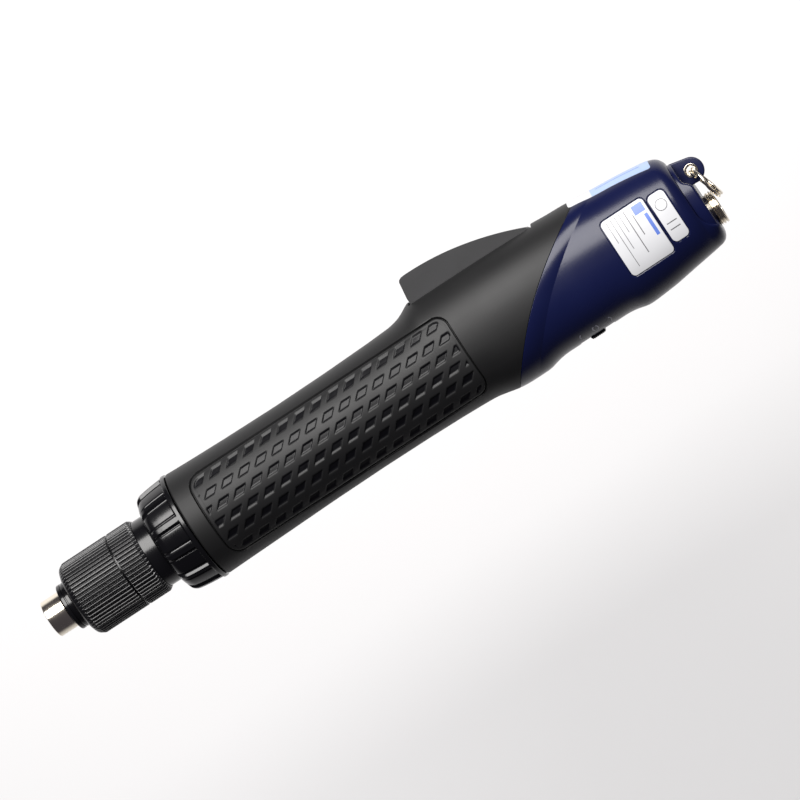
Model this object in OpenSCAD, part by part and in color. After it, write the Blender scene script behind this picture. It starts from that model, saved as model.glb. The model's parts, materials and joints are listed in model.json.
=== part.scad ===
// In-line electric torque screwdriver.
// X runs along the drive axis from the mouth of the bit holder (x = 0) to the tail,
// Y points towards the start lever, and +Z is the tool's left-hand side.

/* [Bit holder] */
// Width across flats of the bit socket
hex_af = 6.4; // [6.36:0.02:6.6]
// Depth of the bit socket
hex_depth = 23; // [16:0.5:26]
// Outside diameter of the release sleeve
sleeve_d = 13.1; // [12.8:0.1:13.2]
// How far the release sleeve pulls forward
sleeve_travel = 2.2; // [1.5:0.1:2.2]

/* [Torque ring] */
// Outside diameter of the fluted rings
ring_d = 26.9; // [26.6:0.1:28]
// Number of flutes round each ring
flutes = 58; // [40:1:72]
// Depth of a flute
flute_depth = 0.55; // [0.3:0.05:0.7]

/* [Coupling nut] */
// Number of raised ribs on the nut
nut_ribs = 12; // [8:1:16]
// Width of a rib
rib_w = 2.8; // [2:0.1:4]

/* [Housing] */
// Wall thickness of the mouldings
wall = 2.3; // [2.1:0.1:2.5]
// Depth of the pocket that takes the grip pad
pad_depth = 1.0; // [0.8:0.05:1.1]
// Gap between the two coloured mouldings along their slanting seam
seam_gap = 0.1; // [0.05:0.05:0.3]

/* [Start lever] */
// Width of the start lever
lever_w = 13; // [11:0.5:13]
// Top of the lever above the drive axis
lever_top = 30.8; // [29:0.1:31.5]

/* [Reversing slider] */
// Length of the slider knob
knob_l = 5.4; // [4:0.1:5.6]
// Travel of the knob each way
knob_travel = 3; // [2:0.1:3]

/* [Power inlet] */
// Major diameter of the threaded inlet shell
inlet_d = 12; // [11.8:0.1:12.2]
// Height of the inlet below the drive axis
inlet_drop = 6.4; // [6:0.1:6.6]

/* [Hidden] */
$fn = 64;
e = 0.01;

// ---------- helpers ----------
// Turns a shape drawn along Z so that it lies along X
module along_x() { rotate([0, 90, 0]) children(); }
// Solid of revolution about the drive axis; points are [x, radius]
module turned(p) { along_x() rotate_extrude() polygon([for (q = p) [q[1], q[0]]]); }
// Plain tube about the drive axis
module tube(x0, x1, ro, ri) {
  translate([x0, 0, 0]) along_x() difference() {
    cylinder(r = ro, h = x1 - x0);
    translate([0, 0, -1]) cylinder(r = ri, h = x1 - x0 + 2);
  }
}
// Prism along Z from a side-view outline
module prism_z(p, z0, z1) { translate([0, 0, z0]) linear_extrude(height = z1 - z0) polygon(p); }
module box(a, b) { translate(a) cube([b[0] - a[0], b[1] - a[1], b[2] - a[2]]); }
function smooth(t) = let(c = max(0, min(1, t))) c * c * (3 - 2 * c);

// ---------- body surface ----------
// Height of the moulding above the drive axis, by x
top_tab = [[57.6, 19.1], [66, 18.8], [80, 18.45], [100, 18.2], [120, 18.4], [137, 18.85],
  [146, 19.3], [150, 20.2], [153, 21.8], [155.4, 23.1], [180, 22.9], [195, 22.6], [203, 22.3],
  [208, 21.9], [214, 21.7], [220, 21.2], [226, 20.6], [232, 20.2], [238, 19.6], [244, 18.8],
  [246, 18.4], [247.4, 17.9], [248.6, 17], [249.4, 15.8], [249.9, 14.8], [256, 14.4]];
// Depth below the drive axis, by x
low_tab = [[57.6, 19.1], [66, 18.9], [80, 18.6], [100, 18.15], [120, 17.95], [137, 18.05],
  [150, 18.3], [158, 18.6], [163, 18.85], [167, 19.7], [171, 20.6], [175, 20.9], [183, 20.9],
  [186, 19.9], [189.5, 19.45], [214, 19.5], [217, 19.9], [220.5, 20.95], [224, 20.85],
  [232, 20.2], [240, 19], [248, 17.9], [251.6, 17.3],
  [253, 16.6], [253.8, 15.6], [254.3, 14.4], [256, 14]];
// Half width, by x
wid_tab = [[57.6, 19.1], [66, 18.85], [80, 18.5], [100, 18.2], [120, 18.1], [137, 18.2],
  [150, 18.5], [165, 19], [180, 19.2], [200, 19.3], [220, 19], [232, 18.4], [244, 17.2],
  [246.6, 16.8], [248.2, 16.1], [249.2, 15.3], [249.8, 14.7], [256, 14.4]];
// Squareness of the section: 2 is an ellipse, more is squarer
sq_tab = [[57.6, 2], [130, 2], [145, 2.1], [160, 2.2], [180, 2.25], [230, 2.25], [256, 2.2]];
// The slanting seam between the black and the blue moulding: x by height
seam_tab = [[-30, 161.5], [-20, 171.7], [-10, 181.3], [0, 191.2], [10, 203.9], [20, 218.2], [30, 233]];
function seam_x(y) = lookup(y, seam_tab);

// Point of the body surface at x and angle t (0 = left side, 90 = top), d below the skin
function skin(x, t, d) = let(
    h = (sin(t) >= 0 ? lookup(x, top_tab) : lookup(x, low_tab)) - d,
    w = lookup(x, wid_tab) - d, n = lookup(x, sq_tab),
    y = h * pow(abs(sin(t)), 2 / n) * sign(sin(t)),
    z = w * pow(abs(cos(t)), 2 / n) * sign(cos(t)),
    s = 1 - 0.05 * smooth((x - seam_x(y)) / 7))
  [x, y, z * s];

// Closed skin through equal loops of points, capped at both ends with a strip across
module strip_solid(loops) {
  n = len(loops[0]); m = len(loops); h = n / 2;
  pts = [for (l = loops) each l];
  sides = [for (i = [0:m - 2]) for (k = [0:n - 1]) let(a = i * n + k, b = i * n + (k + 1) % n)
    each [[a, b, a + n], [b, b + n, a + n]]];
  caps = [for (k = [0:h - 2]) each [
    [k, n - 1 - k, k + 1], [n - 1 - k, n - 2 - k, k + 1],
    [(m - 1) * n + k, (m - 1) * n + k + 1, (m - 1) * n + n - 1 - k],
    [(m - 1) * n + n - 1 - k, (m - 1) * n + k + 1, (m - 1) * n + n - 2 - k]]];
  polyhedron(points = pts, faces = concat(sides, caps), convexity = 6);
}
// Part of the body skin between two depths, over stations xs and angles ts
module skin_patch(xs, ts, d0, d1, side = 1) {
  loops = [for (x = xs) concat([for (t = ts) skin(x, t, d0)],
      [for (i = [len(ts) - 1:-1:0]) skin(x, ts[i], d1)])];
  if (side > 0) strip_solid(loops); else mirror([0, 0, 1]) strip_solid(loops);
}
// Full tube of the body skin between two depths
module skin_tube(xs, ts, d0, d1) {
  n = len(ts); m = len(xs);
  pts = concat([for (x = xs) for (t = ts) skin(x, t, d0)], [for (x = xs) for (t = ts) skin(x, t, d1)]);
  o = m * n;
  out = [for (i = [0:m - 2]) for (k = [0:n - 1]) let(a = i * n + k, b = i * n + (k + 1) % n)
    each [[a, b, a + n], [b, b + n, a + n]]];
  inn = [for (f = out) [f[0] + o, f[2] + o, f[1] + o]];
  ends = [for (k = [0:n - 1]) let(b = (k + 1) % n, r = (m - 1) * n) each [
    [k, o + k, b], [o + k, o + b, b], [r + k, r + b, o + r + k], [o + r + k, r + b, o + r + b]]];
  polyhedron(points = pts, faces = concat(out, inn, ends), convexity = 6);
}
// Solid plug of the body skin
module skin_plug(xs, ts, d) {
  n = len(ts); m = len(xs);
  pts = concat([for (x = xs) for (t = ts) skin(x, t, d)], [[xs[0], 0, 0], [xs[m - 1], 0, 0]]);
  out = [for (i = [0:m - 2]) for (k = [0:n - 1]) let(a = i * n + k, b = i * n + (k + 1) % n)
    each [[a, b, a + n], [b, b + n, a + n]]];
  ends = [for (k = [0:n - 1]) let(b = (k + 1) % n, r = (m - 1) * n) each [
    [k, m * n, b], [r + k, r + b, m * n + 1]]];
  polyhedron(points = pts, faces = concat(out, ends), convexity = 6);
}
// Everything in front of the seam, moved back by g
module seam_front(g) {
  prism_z(concat([[30, -30]], [for (q = seam_tab) [q[1] + g, q[0]]], [[30, 30]]), -30, 30);
}

// ---------- springs ----------
// Round-wire coil about the X axis
module coil(x0, x1, r, wire, turns, seg = 14, side = 6) {
  n = turns * seg;
  c = [for (i = [0:n]) let(a = 360 * i / seg, x = x0 + (x1 - x0) * i / n)
    [for (k = [0:side - 1]) let(b = 360 * k / side, q = r + wire * cos(b))
      [x + wire * sin(b), q * cos(a), q * sin(a)]]];
  pts = [for (l = c) each l];
  body = [for (i = [0:n - 1]) for (k = [0:side - 1]) let(a = i * side + k, b = i * side + (k + 1) % side)
    each [[a, b, a + side], [b, b + side, a + side]]];
  f0 = [for (k = [side - 1:-1:0]) k];
  f1 = [for (k = [0:side - 1]) n * side + k];
  polyhedron(points = pts, faces = concat(body, [f0], [f1]), convexity = 8);
}

// ---------- gears ----------
gear_m = 0.5; sun_z = 12; planet_z = 15; ring_z = 42; pa = 25;
planet_r = gear_m * (sun_z + planet_z) / 2;
function inv(a) = tan(a) * 180 / PI - a;
// Angle from a tooth's centre to its flank at radius r
function flank(z, r, play) = let(rp = gear_m * z / 2, rb = rp * cos(pa), a = r > rb ? acos(rb / r) : 0)
  90 / z - play / rp * 90 / PI + inv(pa) - inv(a);
// Toothed outline; play is the thinning of each tooth at the pitch circle
function gear_points(z, ro, ri, play, phase = 0) = [for (i = [0:z - 1]) each
  let(c = phase + 360 * i / z, rm = (ro + ri) / 2)
  [[ri, -flank(z, ri, play)], [rm, -flank(z, rm, play)], [ro, -flank(z, ro, play)],
   [ro, flank(z, ro, play)], [rm, flank(z, rm, play)], [ri, flank(z, ri, play)]]
  ];
function polar(p, c) = [p[0] * cos(p[1] + c), p[0] * sin(p[1] + c)];
module gear2d(z, add, ded, play, phase) {
  ro = gear_m * z / 2 + add; ri = gear_m * z / 2 - ded;
  g = gear_points(z, ro, ri, play);
  polygon([for (i = [0:len(g) - 1]) polar(g[i], phase + 360 * floor(i / 6) / z)]);
}

// ---------- bit holder ----------
module bit_sleeve() color("silver") turned([[0, 5.75], [0, sleeve_d / 2 - 0.3], [0.3, sleeve_d / 2],
  [6.65, sleeve_d / 2], [6.95, sleeve_d / 2 - 0.3], [6.95, 5.7], [6.5, 5.7], [6.5, 4.95],
  [4.4, 4.95], [4.4, 5.75]]);
module spindle() color("lightslategray") difference() {
  turned([[0, 0], [0, 4.6], [0.3, 4.9], [0.7, 4.9], [0.7, 4.4], [1.3, 4.4], [1.3, 4.9], [7.6, 4.9], [7.6, 4],
    [41.4, 4], [41.4, 0]]);
  translate([-1, 0, 0]) along_x() cylinder(d = hex_af / cos(30), h = hex_depth + 1, $fn = 6);
  translate([5.4, 5, 0]) rotate([90, 0, 0]) cylinder(r = 1.25, h = 4.9);
}
module bit_detent_ball() color("silver") translate([5.4, 3.66, 0]) sphere(r = 1.2);
module sleeve_clip() color("dimgray") tube(0.75, 1.25, 5.6, 4.42);
module sleeve_wave_spring() color("gray") tube(1.32, 2.1, 5.55, 4.98);
module nose_bushing() color("peru") tube(8.2, 14.5, 6.38, 4.03);

// ---------- clutch ----------
module clutch_housing() color([0.07, 0.07, 0.08]) difference() {
  turned([[7.2, 6.4], [7.2, 8.1], [7.4, 8.3], [8.7, 8.3], [8.85, 8.0], [9.15, 8.0], [9.3, 8.3], [36.7, 8.3],
    [36.7, 12.05], [36.9, 12.25], [47.35, 12.25], [47.35, 16.3], [50.5, 16.3], [50.5, 10.9], [38.3, 10.9], [38.3, 6.4]]);
  for (a = [0, 120, 240]) rotate([a, 0, 0]) box([16.8, 5, -1.6], [23.4, 9.4, 1.6]);
}
module spring_pusher() color("darkgray") difference() {
  union() {
    tube(17.05, 19, 6.2, 4.3);
    for (a = [0, 120, 240]) rotate([a, 0, 0]) box([17.05, 5.6, -1.4], [19, 9.9, 1.4]);
  }
}
module clutch_spring() color("gray") coil(23.3, 35.1, 5.15, 0.6, 5);
module thrust_washer() color("silver") tube(36.0, 38.0, 6.3, 4.03);
module clutch_plate() color("slategray") difference() {
  tube(38.5, 41.2, 10.2, 4);
  for (a = [0:120:240]) rotate([a, 0, 0]) translate([42, 7.4, 0]) sphere(r = 1.42);
}
module clutch_balls() color("silver") for (a = [0:120:240]) rotate([a, 0, 0]) translate([42, 7.4, 0]) sphere(r = 1.4);
module clutch_cam() color("slategray") difference() {
  tube(42.8, 45.9, 10.2, 3.6);
  for (a = [0:120:240]) rotate([a, 0, 0]) translate([42, 7.4, 0]) sphere(r = 1.5);
}

// ---------- torque ring ----------
module fluted(x0, x1) {
  r = ring_d / 2; n = flutes;
  translate([x0 - 1, 0, 0]) along_x() linear_extrude(height = x1 - x0 + 2)
    polygon([for (i = [0:n - 1]) each [
      let(a = 360 * (i - 0.28) / n) [r * cos(a), r * sin(a)], let(a = 360 * (i + 0.28) / n) [r * cos(a), r * sin(a)],
      let(a = 360 * (i + 0.42) / n) [(r - flute_depth) * cos(a), (r - flute_depth) * sin(a)],
      let(a = 360 * (i + 0.58) / n) [(r - flute_depth) * cos(a), (r - flute_depth) * sin(a)]]]);
}
module torque_ring() color([0.08, 0.08, 0.09]) union() {
  intersection() {
    fluted(10.5, 30);
    turned([[10.5, 8.38], [10.5, 9.8], [10.75, 11], [11.3, 12.1], [12.2, 13], [13.3, ring_d / 2], [29.8, ring_d / 2],
      [30, ring_d / 2 - 0.2], [30, 10.5], [17, 10.5], [17, 8.38]]);
  }
  turned([[29.9, 10.5], [29.9, 11.8], [33.2, 11.8], [33.2, 10.5]]);
}
module lock_ring() color([0.08, 0.08, 0.09]) intersection() {
  fluted(30.7, 39.6);
  turned([[30.7, 11.85], [30.7, ring_d / 2 - 0.2], [30.9, ring_d / 2], [38.3, ring_d / 2], [39.6, ring_d / 2 - 0.9],
    [39.6, 12.33], [33.5, 12.33], [33.5, 11.85]]);
}

// ---------- coupling nut ----------
module coupling_nut() color([0.05, 0.05, 0.06]) {
  out = [[44.4, 15.2], [44.7, 16.2], [45.3, 17], [46.2, 17.9], [47.2, 18.4], [50, 18.85], [56.6, 19.5], [57.3, 19.35]];
  difference() {
    union() {
      turned(concat([[44.4, 12.35]], [for (q = out) [q[0], q[1] - 0.75]], [[57.3, 16.8], [47.3, 16.8], [47.3, 12.35]]));
      intersection() {
        turned(concat([[44.6, 14]], [for (i = [1:7]) out[i]], [[57.3, 17], [47.2, 17], [47.2, 14]]));
        union() for (i = [0:nut_ribs - 1]) rotate([360 * i / nut_ribs + 15, 0, 0]) box([44, 12, -rib_w / 2], [58, 22, rib_w / 2]);
      }
      turned([[56, 17], [56, 19.42], [56.6, 19.5], [57.3, 19.35], [57.3, 17]]);
    }
  }
}

// ---------- gearbox ----------
module gear_case() color("lightgray") turned([[50.7, 5.6], [50.7, 13.9], [71.9, 13.9], [71.9, 13], [56.4, 13],
  [56.4, 8], [52, 8], [52, 5.6]]);
module carrier_bearing() color("silver") {
  tube(52.1, 56.1, 8, 7);
  tube(52.1, 56.1, 6, 5.02);
  for (i = [0:8]) rotate([40 * i, 0, 0]) translate([54.1, 6.5, 0]) sphere(r = 0.65);
}
module planet_carrier() color("slategray") {
  turned([[42.85, 0], [42.85, 3.6], [46, 3.6], [46, 5], [56.8, 5], [56.8, 9.6], [60, 9.6], [60, 0]]);
  for (a = [0:120:240]) along_x() translate([planet_r * cos(a), planet_r * sin(a), 59.5]) cylinder(r = 1.2, h = 9.8);
}
// A planet's phase: tooth towards the ring on its own spoke, space towards the sun
module planet(a) color("goldenrod") translate([61, 0, 0]) along_x() rotate([0, 0, a]) translate([planet_r, 0, 0]) difference() {
  linear_extrude(height = 8) gear2d(planet_z, 0.42, 0.6, 0.07, 0);
  translate([0, 0, -1]) cylinder(r = 1.24, h = 10);
}
module planet_gear_1() planet(0);
module planet_gear_2() planet(120);
module planet_gear_3() planet(240);
module ring_gear() color("gray") translate([60.6, 0, 0]) along_x() linear_extrude(height = 11.2) difference() {
  circle(r = 12.98);
  gear2d(ring_z, 0.6, 0.42, -0.07, 0);
}
module sun_pinion() color("goldenrod") translate([60.8, 0, 0]) along_x() linear_extrude(height = 10) difference() {
  gear2d(sun_z, 0.42, 0.6, 0.07, 0);
  circle(r = 1.5);
}

// ---------- motor ----------
module motor_shaft() color("silver") translate([60.9, 0, 0]) along_x() cylinder(r = 1.5, h = 62);
module rotor_magnet() color("dimgray") tube(80, 113, 6.6, 1.5);
module motor_front_bell() color("gainsboro") turned([[72, 2.4], [72, 14.2], [75.2, 14.2], [75.2, 13.2], [77.4, 13.2],
  [77.4, 4.8], [73.5, 4.8], [73.5, 2.4]]);
module motor_can() color("darkgray") tube(75.25, 118, 14.2, 13.25);
module stator_core() color("slategray") translate([81, 0, 0]) along_x() linear_extrude(height = 30) difference() {
  circle(r = 13.2);
  circle(r = 7);
  for (i = [0:5]) rotate(60 * i) translate([7.8, 0]) union() { translate([0, -2.4]) square([3.6, 4.8]); translate([-2, -0.5]) square([3, 1]); }
}
module stator_windings() color("chocolate") for (i = [0:5]) rotate([60 * i, 0, 0])
  difference() {
    box([78.5, -2.3, -11.3], [113.5, 2.3, -7.9]);
    box([82.5, -0.6, -12], [109.5, 0.6, -7.5]);
  }
module bearing_small(x0) {
  tube(x0, x0 + 3.4, 4.8, 4.1);
  tube(x0, x0 + 3.4, 2.4, 1.51);
  for (i = [0:6]) rotate([360 / 7 * i, 0, 0]) translate([x0 + 1.7, 3.25, 0]) sphere(r = 0.95);
}
module motor_front_bearing() color("silver") bearing_small(73.6);
module motor_rear_bearing() color("silver") bearing_small(116.4);
module motor_end_bell() color([0.12, 0.12, 0.13]) turned([[115.5, 4.8], [115.5, 13.2], [118.05, 13.2], [118.05, 14.2], [121.5, 14.2],
  [121.5, 2.4], [119.9, 2.4], [119.9, 4.8]]);
module motor_sleeves() color([0.15, 0.15, 0.15]) { tube(76, 84, 15.75, 14.2); tube(108, 116, 15.5, 14.2); }

// ---------- grip ----------
screw_at = [[130, 10], [130, -10], [148, -11]];
pad_x0 = 64; pad_x1 = 165;
pad_t0 = -60; pad_t1 = 50;
grip_x = [57.6, 60, pad_x0 - 0.1, pad_x0, 72, 80, 90, 100, 110, 120, 129, 137, 142, 146, 148, 150, 151.5, 153, 155.4,
  160, pad_x1, pad_x1 + 0.1, 168, 171, 174, 178, 183, 187, 192, 200, 208, 214, 220, 226];
grip_t = [-90, -81, -72, -64, pad_t0, pad_t0 + 0.4, -52, -43, -34, -25, -16, -8, 0, 8, 16, 25, 34, 42, pad_t1 - 0.4, pad_t1, 57, 65, 73, 81, 90];
module grip_half(side) {
  loops = [for (x = grip_x) concat(
    [for (t = grip_t) skin(x, t, x >= pad_x0 && x <= pad_x1 && t > pad_t0 && t < pad_t1 ? pad_depth : 0)],
    [for (i = [len(grip_t) - 1:-1:0]) skin(x, grip_t[i], wall)])];
  s = side;
  difference() {
    union() {
      intersection() {
        if (s > 0) strip_solid(loops); else mirror([0, 0, 1]) strip_solid(loops);
        seam_front(-seam_gap / 2);
      }
      // threaded spigot that the coupling nut closes round
      intersection() {
        turned([[50.7, 14], [50.7, 16.5], [57.7, 16.5], [57.7, 18.9], [60, 18.8], [60, 14]]);
        if (s > 0) box([50, -20, 0], [61, 20, 20]); else box([50, -20, -20], [61, 20, 0]);
      }
      // screw posts
      for (q = screw_at)
        if (s > 0) translate([q[0], q[1], 0.02]) cylinder(r = 2.7, h = 10.9);
        else translate([q[0], q[1], -10.92]) cylinder(r = 2.7, h = 10.9);
      // posts for the lever pin
      if (s > 0) translate([pivot[0], pivot[1], 7]) cylinder(r = 2.8, h = 3.5);
      else translate([pivot[0], pivot[1], -10.5]) cylinder(r = 2.8, h = 3.5);
    }
    // lever slot
    box([155.5, 12, -6.8], [202.4, 30, 6.8]);
    // screw holes
    for (q = screw_at) {
      translate([q[0], q[1], s > 0 ? -1 : -20]) cylinder(r = 1.4, h = s > 0 ? 10 : 21);
      if (s < 0) translate([q[0], q[1], -25]) cylinder(r = 2.5, h = 15);
    }
    // bearing for the lever pin
    translate([pivot[0], pivot[1], s > 0 ? 6 : -10.2]) cylinder(r = 1.25, h = 4.2);
  }
}
module grip_shell_left() color([0.15, 0.15, 0.15]) grip_half(1);
module grip_shell_right() color([0.15, 0.15, 0.15]) grip_half(-1);
module grip_pad(side) {
  xs = [pad_x0 + 0.15, 72, 80, 90, 100, 110, 120, 129, 137, 142, 146, 148, 150, 151.5, 153, 155.4, 160, pad_x1 - 0.15];
  ts = [pad_t0 + 0.9, -52, -43, -34, -25, -16, -8, 0, 8, 16, 25, 34, 42, pad_t1 - 0.9];
  skin_patch(xs, ts, 0, pad_depth - 0.05, side);
}
module grip_pad_left() color([0.12, 0.12, 0.12]) grip_pad(1);
module grip_pad_right() color([0.12, 0.12, 0.12]) grip_pad(-1);
module grip_screws() color("silver") for (q = screw_at) translate([q[0], q[1], 0]) difference() {
  union() {
    translate([0, 0, -11.3]) cylinder(r = 2.4, h = 1.3);
    translate([0, 0, -10.1]) cylinder(r = 1.38, h = 18);
  }
  translate([0, 0, -12.4]) cylinder(r = 1.1, h = 2, $fn = 6);
}

// ---------- rear housing ----------
cap_screw_z = 10.2;
rear_x = [165, 168, 171, 174, 178, 183, 186, 189, 194, 200, 206, 210, 214, 217, 220.5, 224, 228, 232, 236, 240, 244,
  246, 247.4, 248.6, 249.4, 249.9, 251.6, 253, 253.8, 254.3, 256];
full_t = [for (i = [0:47]) 7.5 * i];
side_end = 249.8; // where the sides and the top end
low_end = 254.3; // where the bottom lip ends
// Curved ledge from the end of the sides down to the bottom lip, set back by g
function ledge(g) = [for (a = [0:8:80]) [256 - (6.2 - g) * cos(a), -4.3 - (7.6 - g) * sin(a)]];
// Everything behind the side edges and above the lip
module behind_tail(g) prism_z(concat([[280, 30], [side_end + g, 30]], ledge(g), [[low_end, -12.2 + g], [low_end, -30], [280, -30]]), -30, 30);
module rear_housing() color([0.06, 0.07, 0.2]) difference() {
  union() {
    difference() {
      skin_tube(rear_x, full_t, 0, wall);
      seam_front(seam_gap / 2);
    }
    for (s = [-1, 1]) {
      translate([238, 0, cap_screw_z * s]) along_x() cylinder(r = 2.5, h = 9.2);
      box([238, -1.2, s > 0 ? cap_screw_z : -14.9], [247.2, 1.2, s > 0 ? 14.9 : -cap_screw_z]);
    }
  }
  behind_tail(0);
  // slot for the reversing slider
  box([195.4, -25, -3.1], [208.0, -10, 3.1]);
  for (s = [-1, 1]) translate([240, 0, cap_screw_z * s]) along_x() cylinder(r = 1.1, h = 12);
}

// ---------- start lever ----------
pivot = [198.5, 16.3];
function lever_y(x) = lever_top - 0.00545 * pow(max(0, x - 161), 2);
lever_out = concat([[156.4, 16.5], [156.1, 23.7], [156.9, lever_top - 1.2], [157.3, lever_top - 0.6], [158.2, lever_top - 0.15], [159.4, lever_top]],
  [for (x = [161:2.5:201]) [x, lever_y(x)]], [[201.6, 21.4], [201.7, 16.3], [201.1, 14.4], [199.6, 13.1], [197.4, 13.1], [195.9, 14.4], [195, 16.5]]);
lever_in = concat([[159.2, 10], [159.2, 27.6]], [for (x = [161:5:191]) [x, lever_y(x) - 3]], [[193.5, 19], [193.5, 10]]);
module lever() color([0.09, 0.09, 0.1]) difference() {
  union() {
    difference() {
      prism_z(lever_out, -lever_w / 2, lever_w / 2);
      prism_z(lever_in, -lever_w / 2 + 1.6, lever_w / 2 - 1.6);
      box([192.6, 10, -3.3], [203, 21, 3.3]);
    }
    // rib that works the switch
    box([163.5, 14.35, -4.95], [166.5, 28.3, 4.95]);
  }
  translate([pivot[0], pivot[1], -8]) cylinder(r = 1.3, h = 16);
}
module lever_pin() color("silver") translate([pivot[0], pivot[1], -10.15]) cylinder(r = 1.25, h = 20.3);
module lever_spring() color("gray") {
  translate([pivot[0], pivot[1], 0]) rotate([0, -90, 0]) coil(-2.3, 2.3, 2.1, 0.36, 5, 16, 6);
  translate([pivot[0] - 9.5, pivot[1] + 1.75, -2.4]) along_x() cylinder(r = 0.35, h = 9);
}

// ---------- start switch ----------
module start_switch() color([0.1, 0.1, 0.1]) difference() {
  box([151.5, -5.9, -5.1], [179.3, 10, 5.1]);
  box([163.4, 2, -2.1], [166.6, 11, 2.1]);
  for (x = [154.5, 176.5]) translate([x, 0, -6]) cylinder(r = 1.5, h = 12);
}
module switch_plunger() color("firebrick") box([163.7, 6, -1.8], [166.3, 14.1, 1.8]);

// ---------- electronics ----------
module control_board() color("darkgreen") difference() {
  box([134.5, -7.6, -12.5], [236, -6, 12.5]);
  for (q = [[138, 9.5], [138, -9.5], [232, 9], [232, -9]]) translate([q[0], -9, q[1]]) rotate([-90, 0, 0]) cylinder(r = 1.2, h = 4);
}
module board_components() color("dimgray") {
  for (x = [186, 194]) translate([x, -5.95, 6.5]) rotate([-90, 0, 0]) cylinder(r = 3.2, h = 11);
  for (i = [0:2]) box([184 + 8 * i, -5.95, -9.5], [190 + 8 * i, -1.5, -5]);
  box([212, -5.95, -6], [222, -4.4, 6]);
  box([228, -5.95, -5.5], [234, 0, 5.5]);
  box([136, -5.95, -6], [144, 0.5, 6]);
}

// ---------- reversing switch ----------
module fr_switch() color("darkgray") difference() {
  box([194, -15.4, -4], [209.4, -7.65, 4]);
  box([196.2, -16, -1.8], [207.2, -12, 1.8]);
}
module fr_slider() color([0.08, 0.08, 0.08]) {
  c = 201.7;
  difference() {
    union() {
      box([c - 1.5, -17.5, -1.5], [c + 1.5, -12.3, 1.5]);
      box([c - knob_l / 2, -20.45, -2.7], [c + knob_l / 2, -17.3, 2.7]);
    }
    for (i = [-2:2]) translate([c + 0.95 * i, -20.5, -3]) rotate([0, 0, 45]) cube([0.45, 0.45, 6]);
  }
}

// ---------- tail ----------
lug = [255.7, 8.2];
// Side outline of the cap behind the housing: low seat for the inlet, step up to the lug
cap_rear = [[247.5, 30], [247.5, -30], [253.9, -30], [253.9, 3.6], [253.7, 4.3], [253.1, 4.9], [252.3, 5.4], [251.6, 6.2],
  [251.3, 7.4], [251.2, 13.2], [250.6, 13.7], [249.5, 13.8], [249.5, 30]];
module end_cap() color([0.06, 0.07, 0.2]) difference() {
  union() {
    intersection() {
      union() {
        skin_plug([244, 246, 247.4, 248.6, 249.4, 249.9, 251.6, 253, 253.8, 254.3, 256], full_t, wall + 0.08);
        intersection() {
          skin_plug([249.7, 249.9, 251.6, 253, 253.8, 254.3, 256], full_t, 1);
          behind_tail(0.12);
        }
      }
      prism_z(cap_rear, -30, 30);
    }
    translate([lug[0], lug[1], -1.5]) cylinder(r = 4.4, h = 3);
    prism_z([[248.6, 5], [248.6, 13.75], [250.6, 13.75], [256.7, 12.48], [255.7, 8.2], [255.7, 3.8], [253.3, 3.6]], -1.5, 1.5);
  }
  translate([lug[0], lug[1], -3]) cylinder(r = 1.95, h = 6);
  translate([240, -inlet_drop, 0]) along_x() cylinder(r = inlet_d / 2 - 0.46, h = 20);
  for (s = [-1, 1]) translate([240, 0, cap_screw_z * s]) along_x() { cylinder(r = 1.4, h = 20); translate([0, 0, 10.9]) cylinder(r = 2.1, h = 12); }
}
module cap_screws() color("silver") for (s = [-1, 1]) translate([0, 0, cap_screw_z * s]) difference() {
  union() {
    translate([250.95, 0, 0]) along_x() cylinder(r = 1.95, h = 1.2);
    translate([241, 0, 0]) along_x() cylinder(r = 1.08, h = 10.2);
  }
  translate([251.4, 0, 0]) along_x() cylinder(r = 0.9, h = 2, $fn = 6);
}
module lug_eyelet() color("silver") translate([lug[0], lug[1], 0]) rotate_extrude() polygon([
  [1.45, -1.75], [2.3, -1.75], [2.3, -1.55], [1.93, -1.5], [1.93, 1.5], [2.3, 1.55], [2.3, 1.75], [1.45, 1.75]]);
ring_r = 6.1; ring_wire = 0.57; ring_tilt = -72.3;
module split_ring() color("silver") translate([lug[0], lug[1], 0]) rotate([0, 0, ring_tilt]) translate([ring_r, 0, 0])
  rotate([90, 0, 0]) rotate_extrude() for (s = [-1, 1]) translate([ring_r, 0.565 * s]) circle(r = ring_wire);
inlet_x = 254.9; // where the thread starts
module inlet_shell() color("silver") translate([0, -inlet_drop, 0]) turned([[243.6, 4.6], [243.6, inlet_d / 2 - 0.5], [inlet_x, inlet_d / 2 - 0.5],
  [inlet_x, inlet_d / 2], [257.1, inlet_d / 2], [257.4, inlet_d / 2 - 0.3], [257.4, 4.6]]);
module inlet_insert() color([0.1, 0.1, 0.1]) translate([0, -inlet_drop, 0]) difference() {
  translate([243, 0, 0]) along_x() cylinder(r = 4.58, h = 9);
  for (p = pin_at) translate([242, p[0], p[1]]) along_x() cylinder(r = 0.5, h = 11);
}
pin_at = [[0, 0], [1.77, 1.77], [1.77, -1.77], [-1.77, 1.77], [-1.77, -1.77]];
module inlet_pins() color("gold") for (p = pin_at) translate([241, p[0] - inlet_drop, p[1]]) along_x() cylinder(r = 0.5, h = 12.6);
module inlet_nut() color("silver") translate([244.05, -inlet_drop, 0]) along_x() difference() {
  cylinder(r = 7.8, h = 3.2, $fn = 6);
  translate([0, 0, -1]) cylinder(r = inlet_d / 2 - 0.5, h = 6);
}

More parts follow.
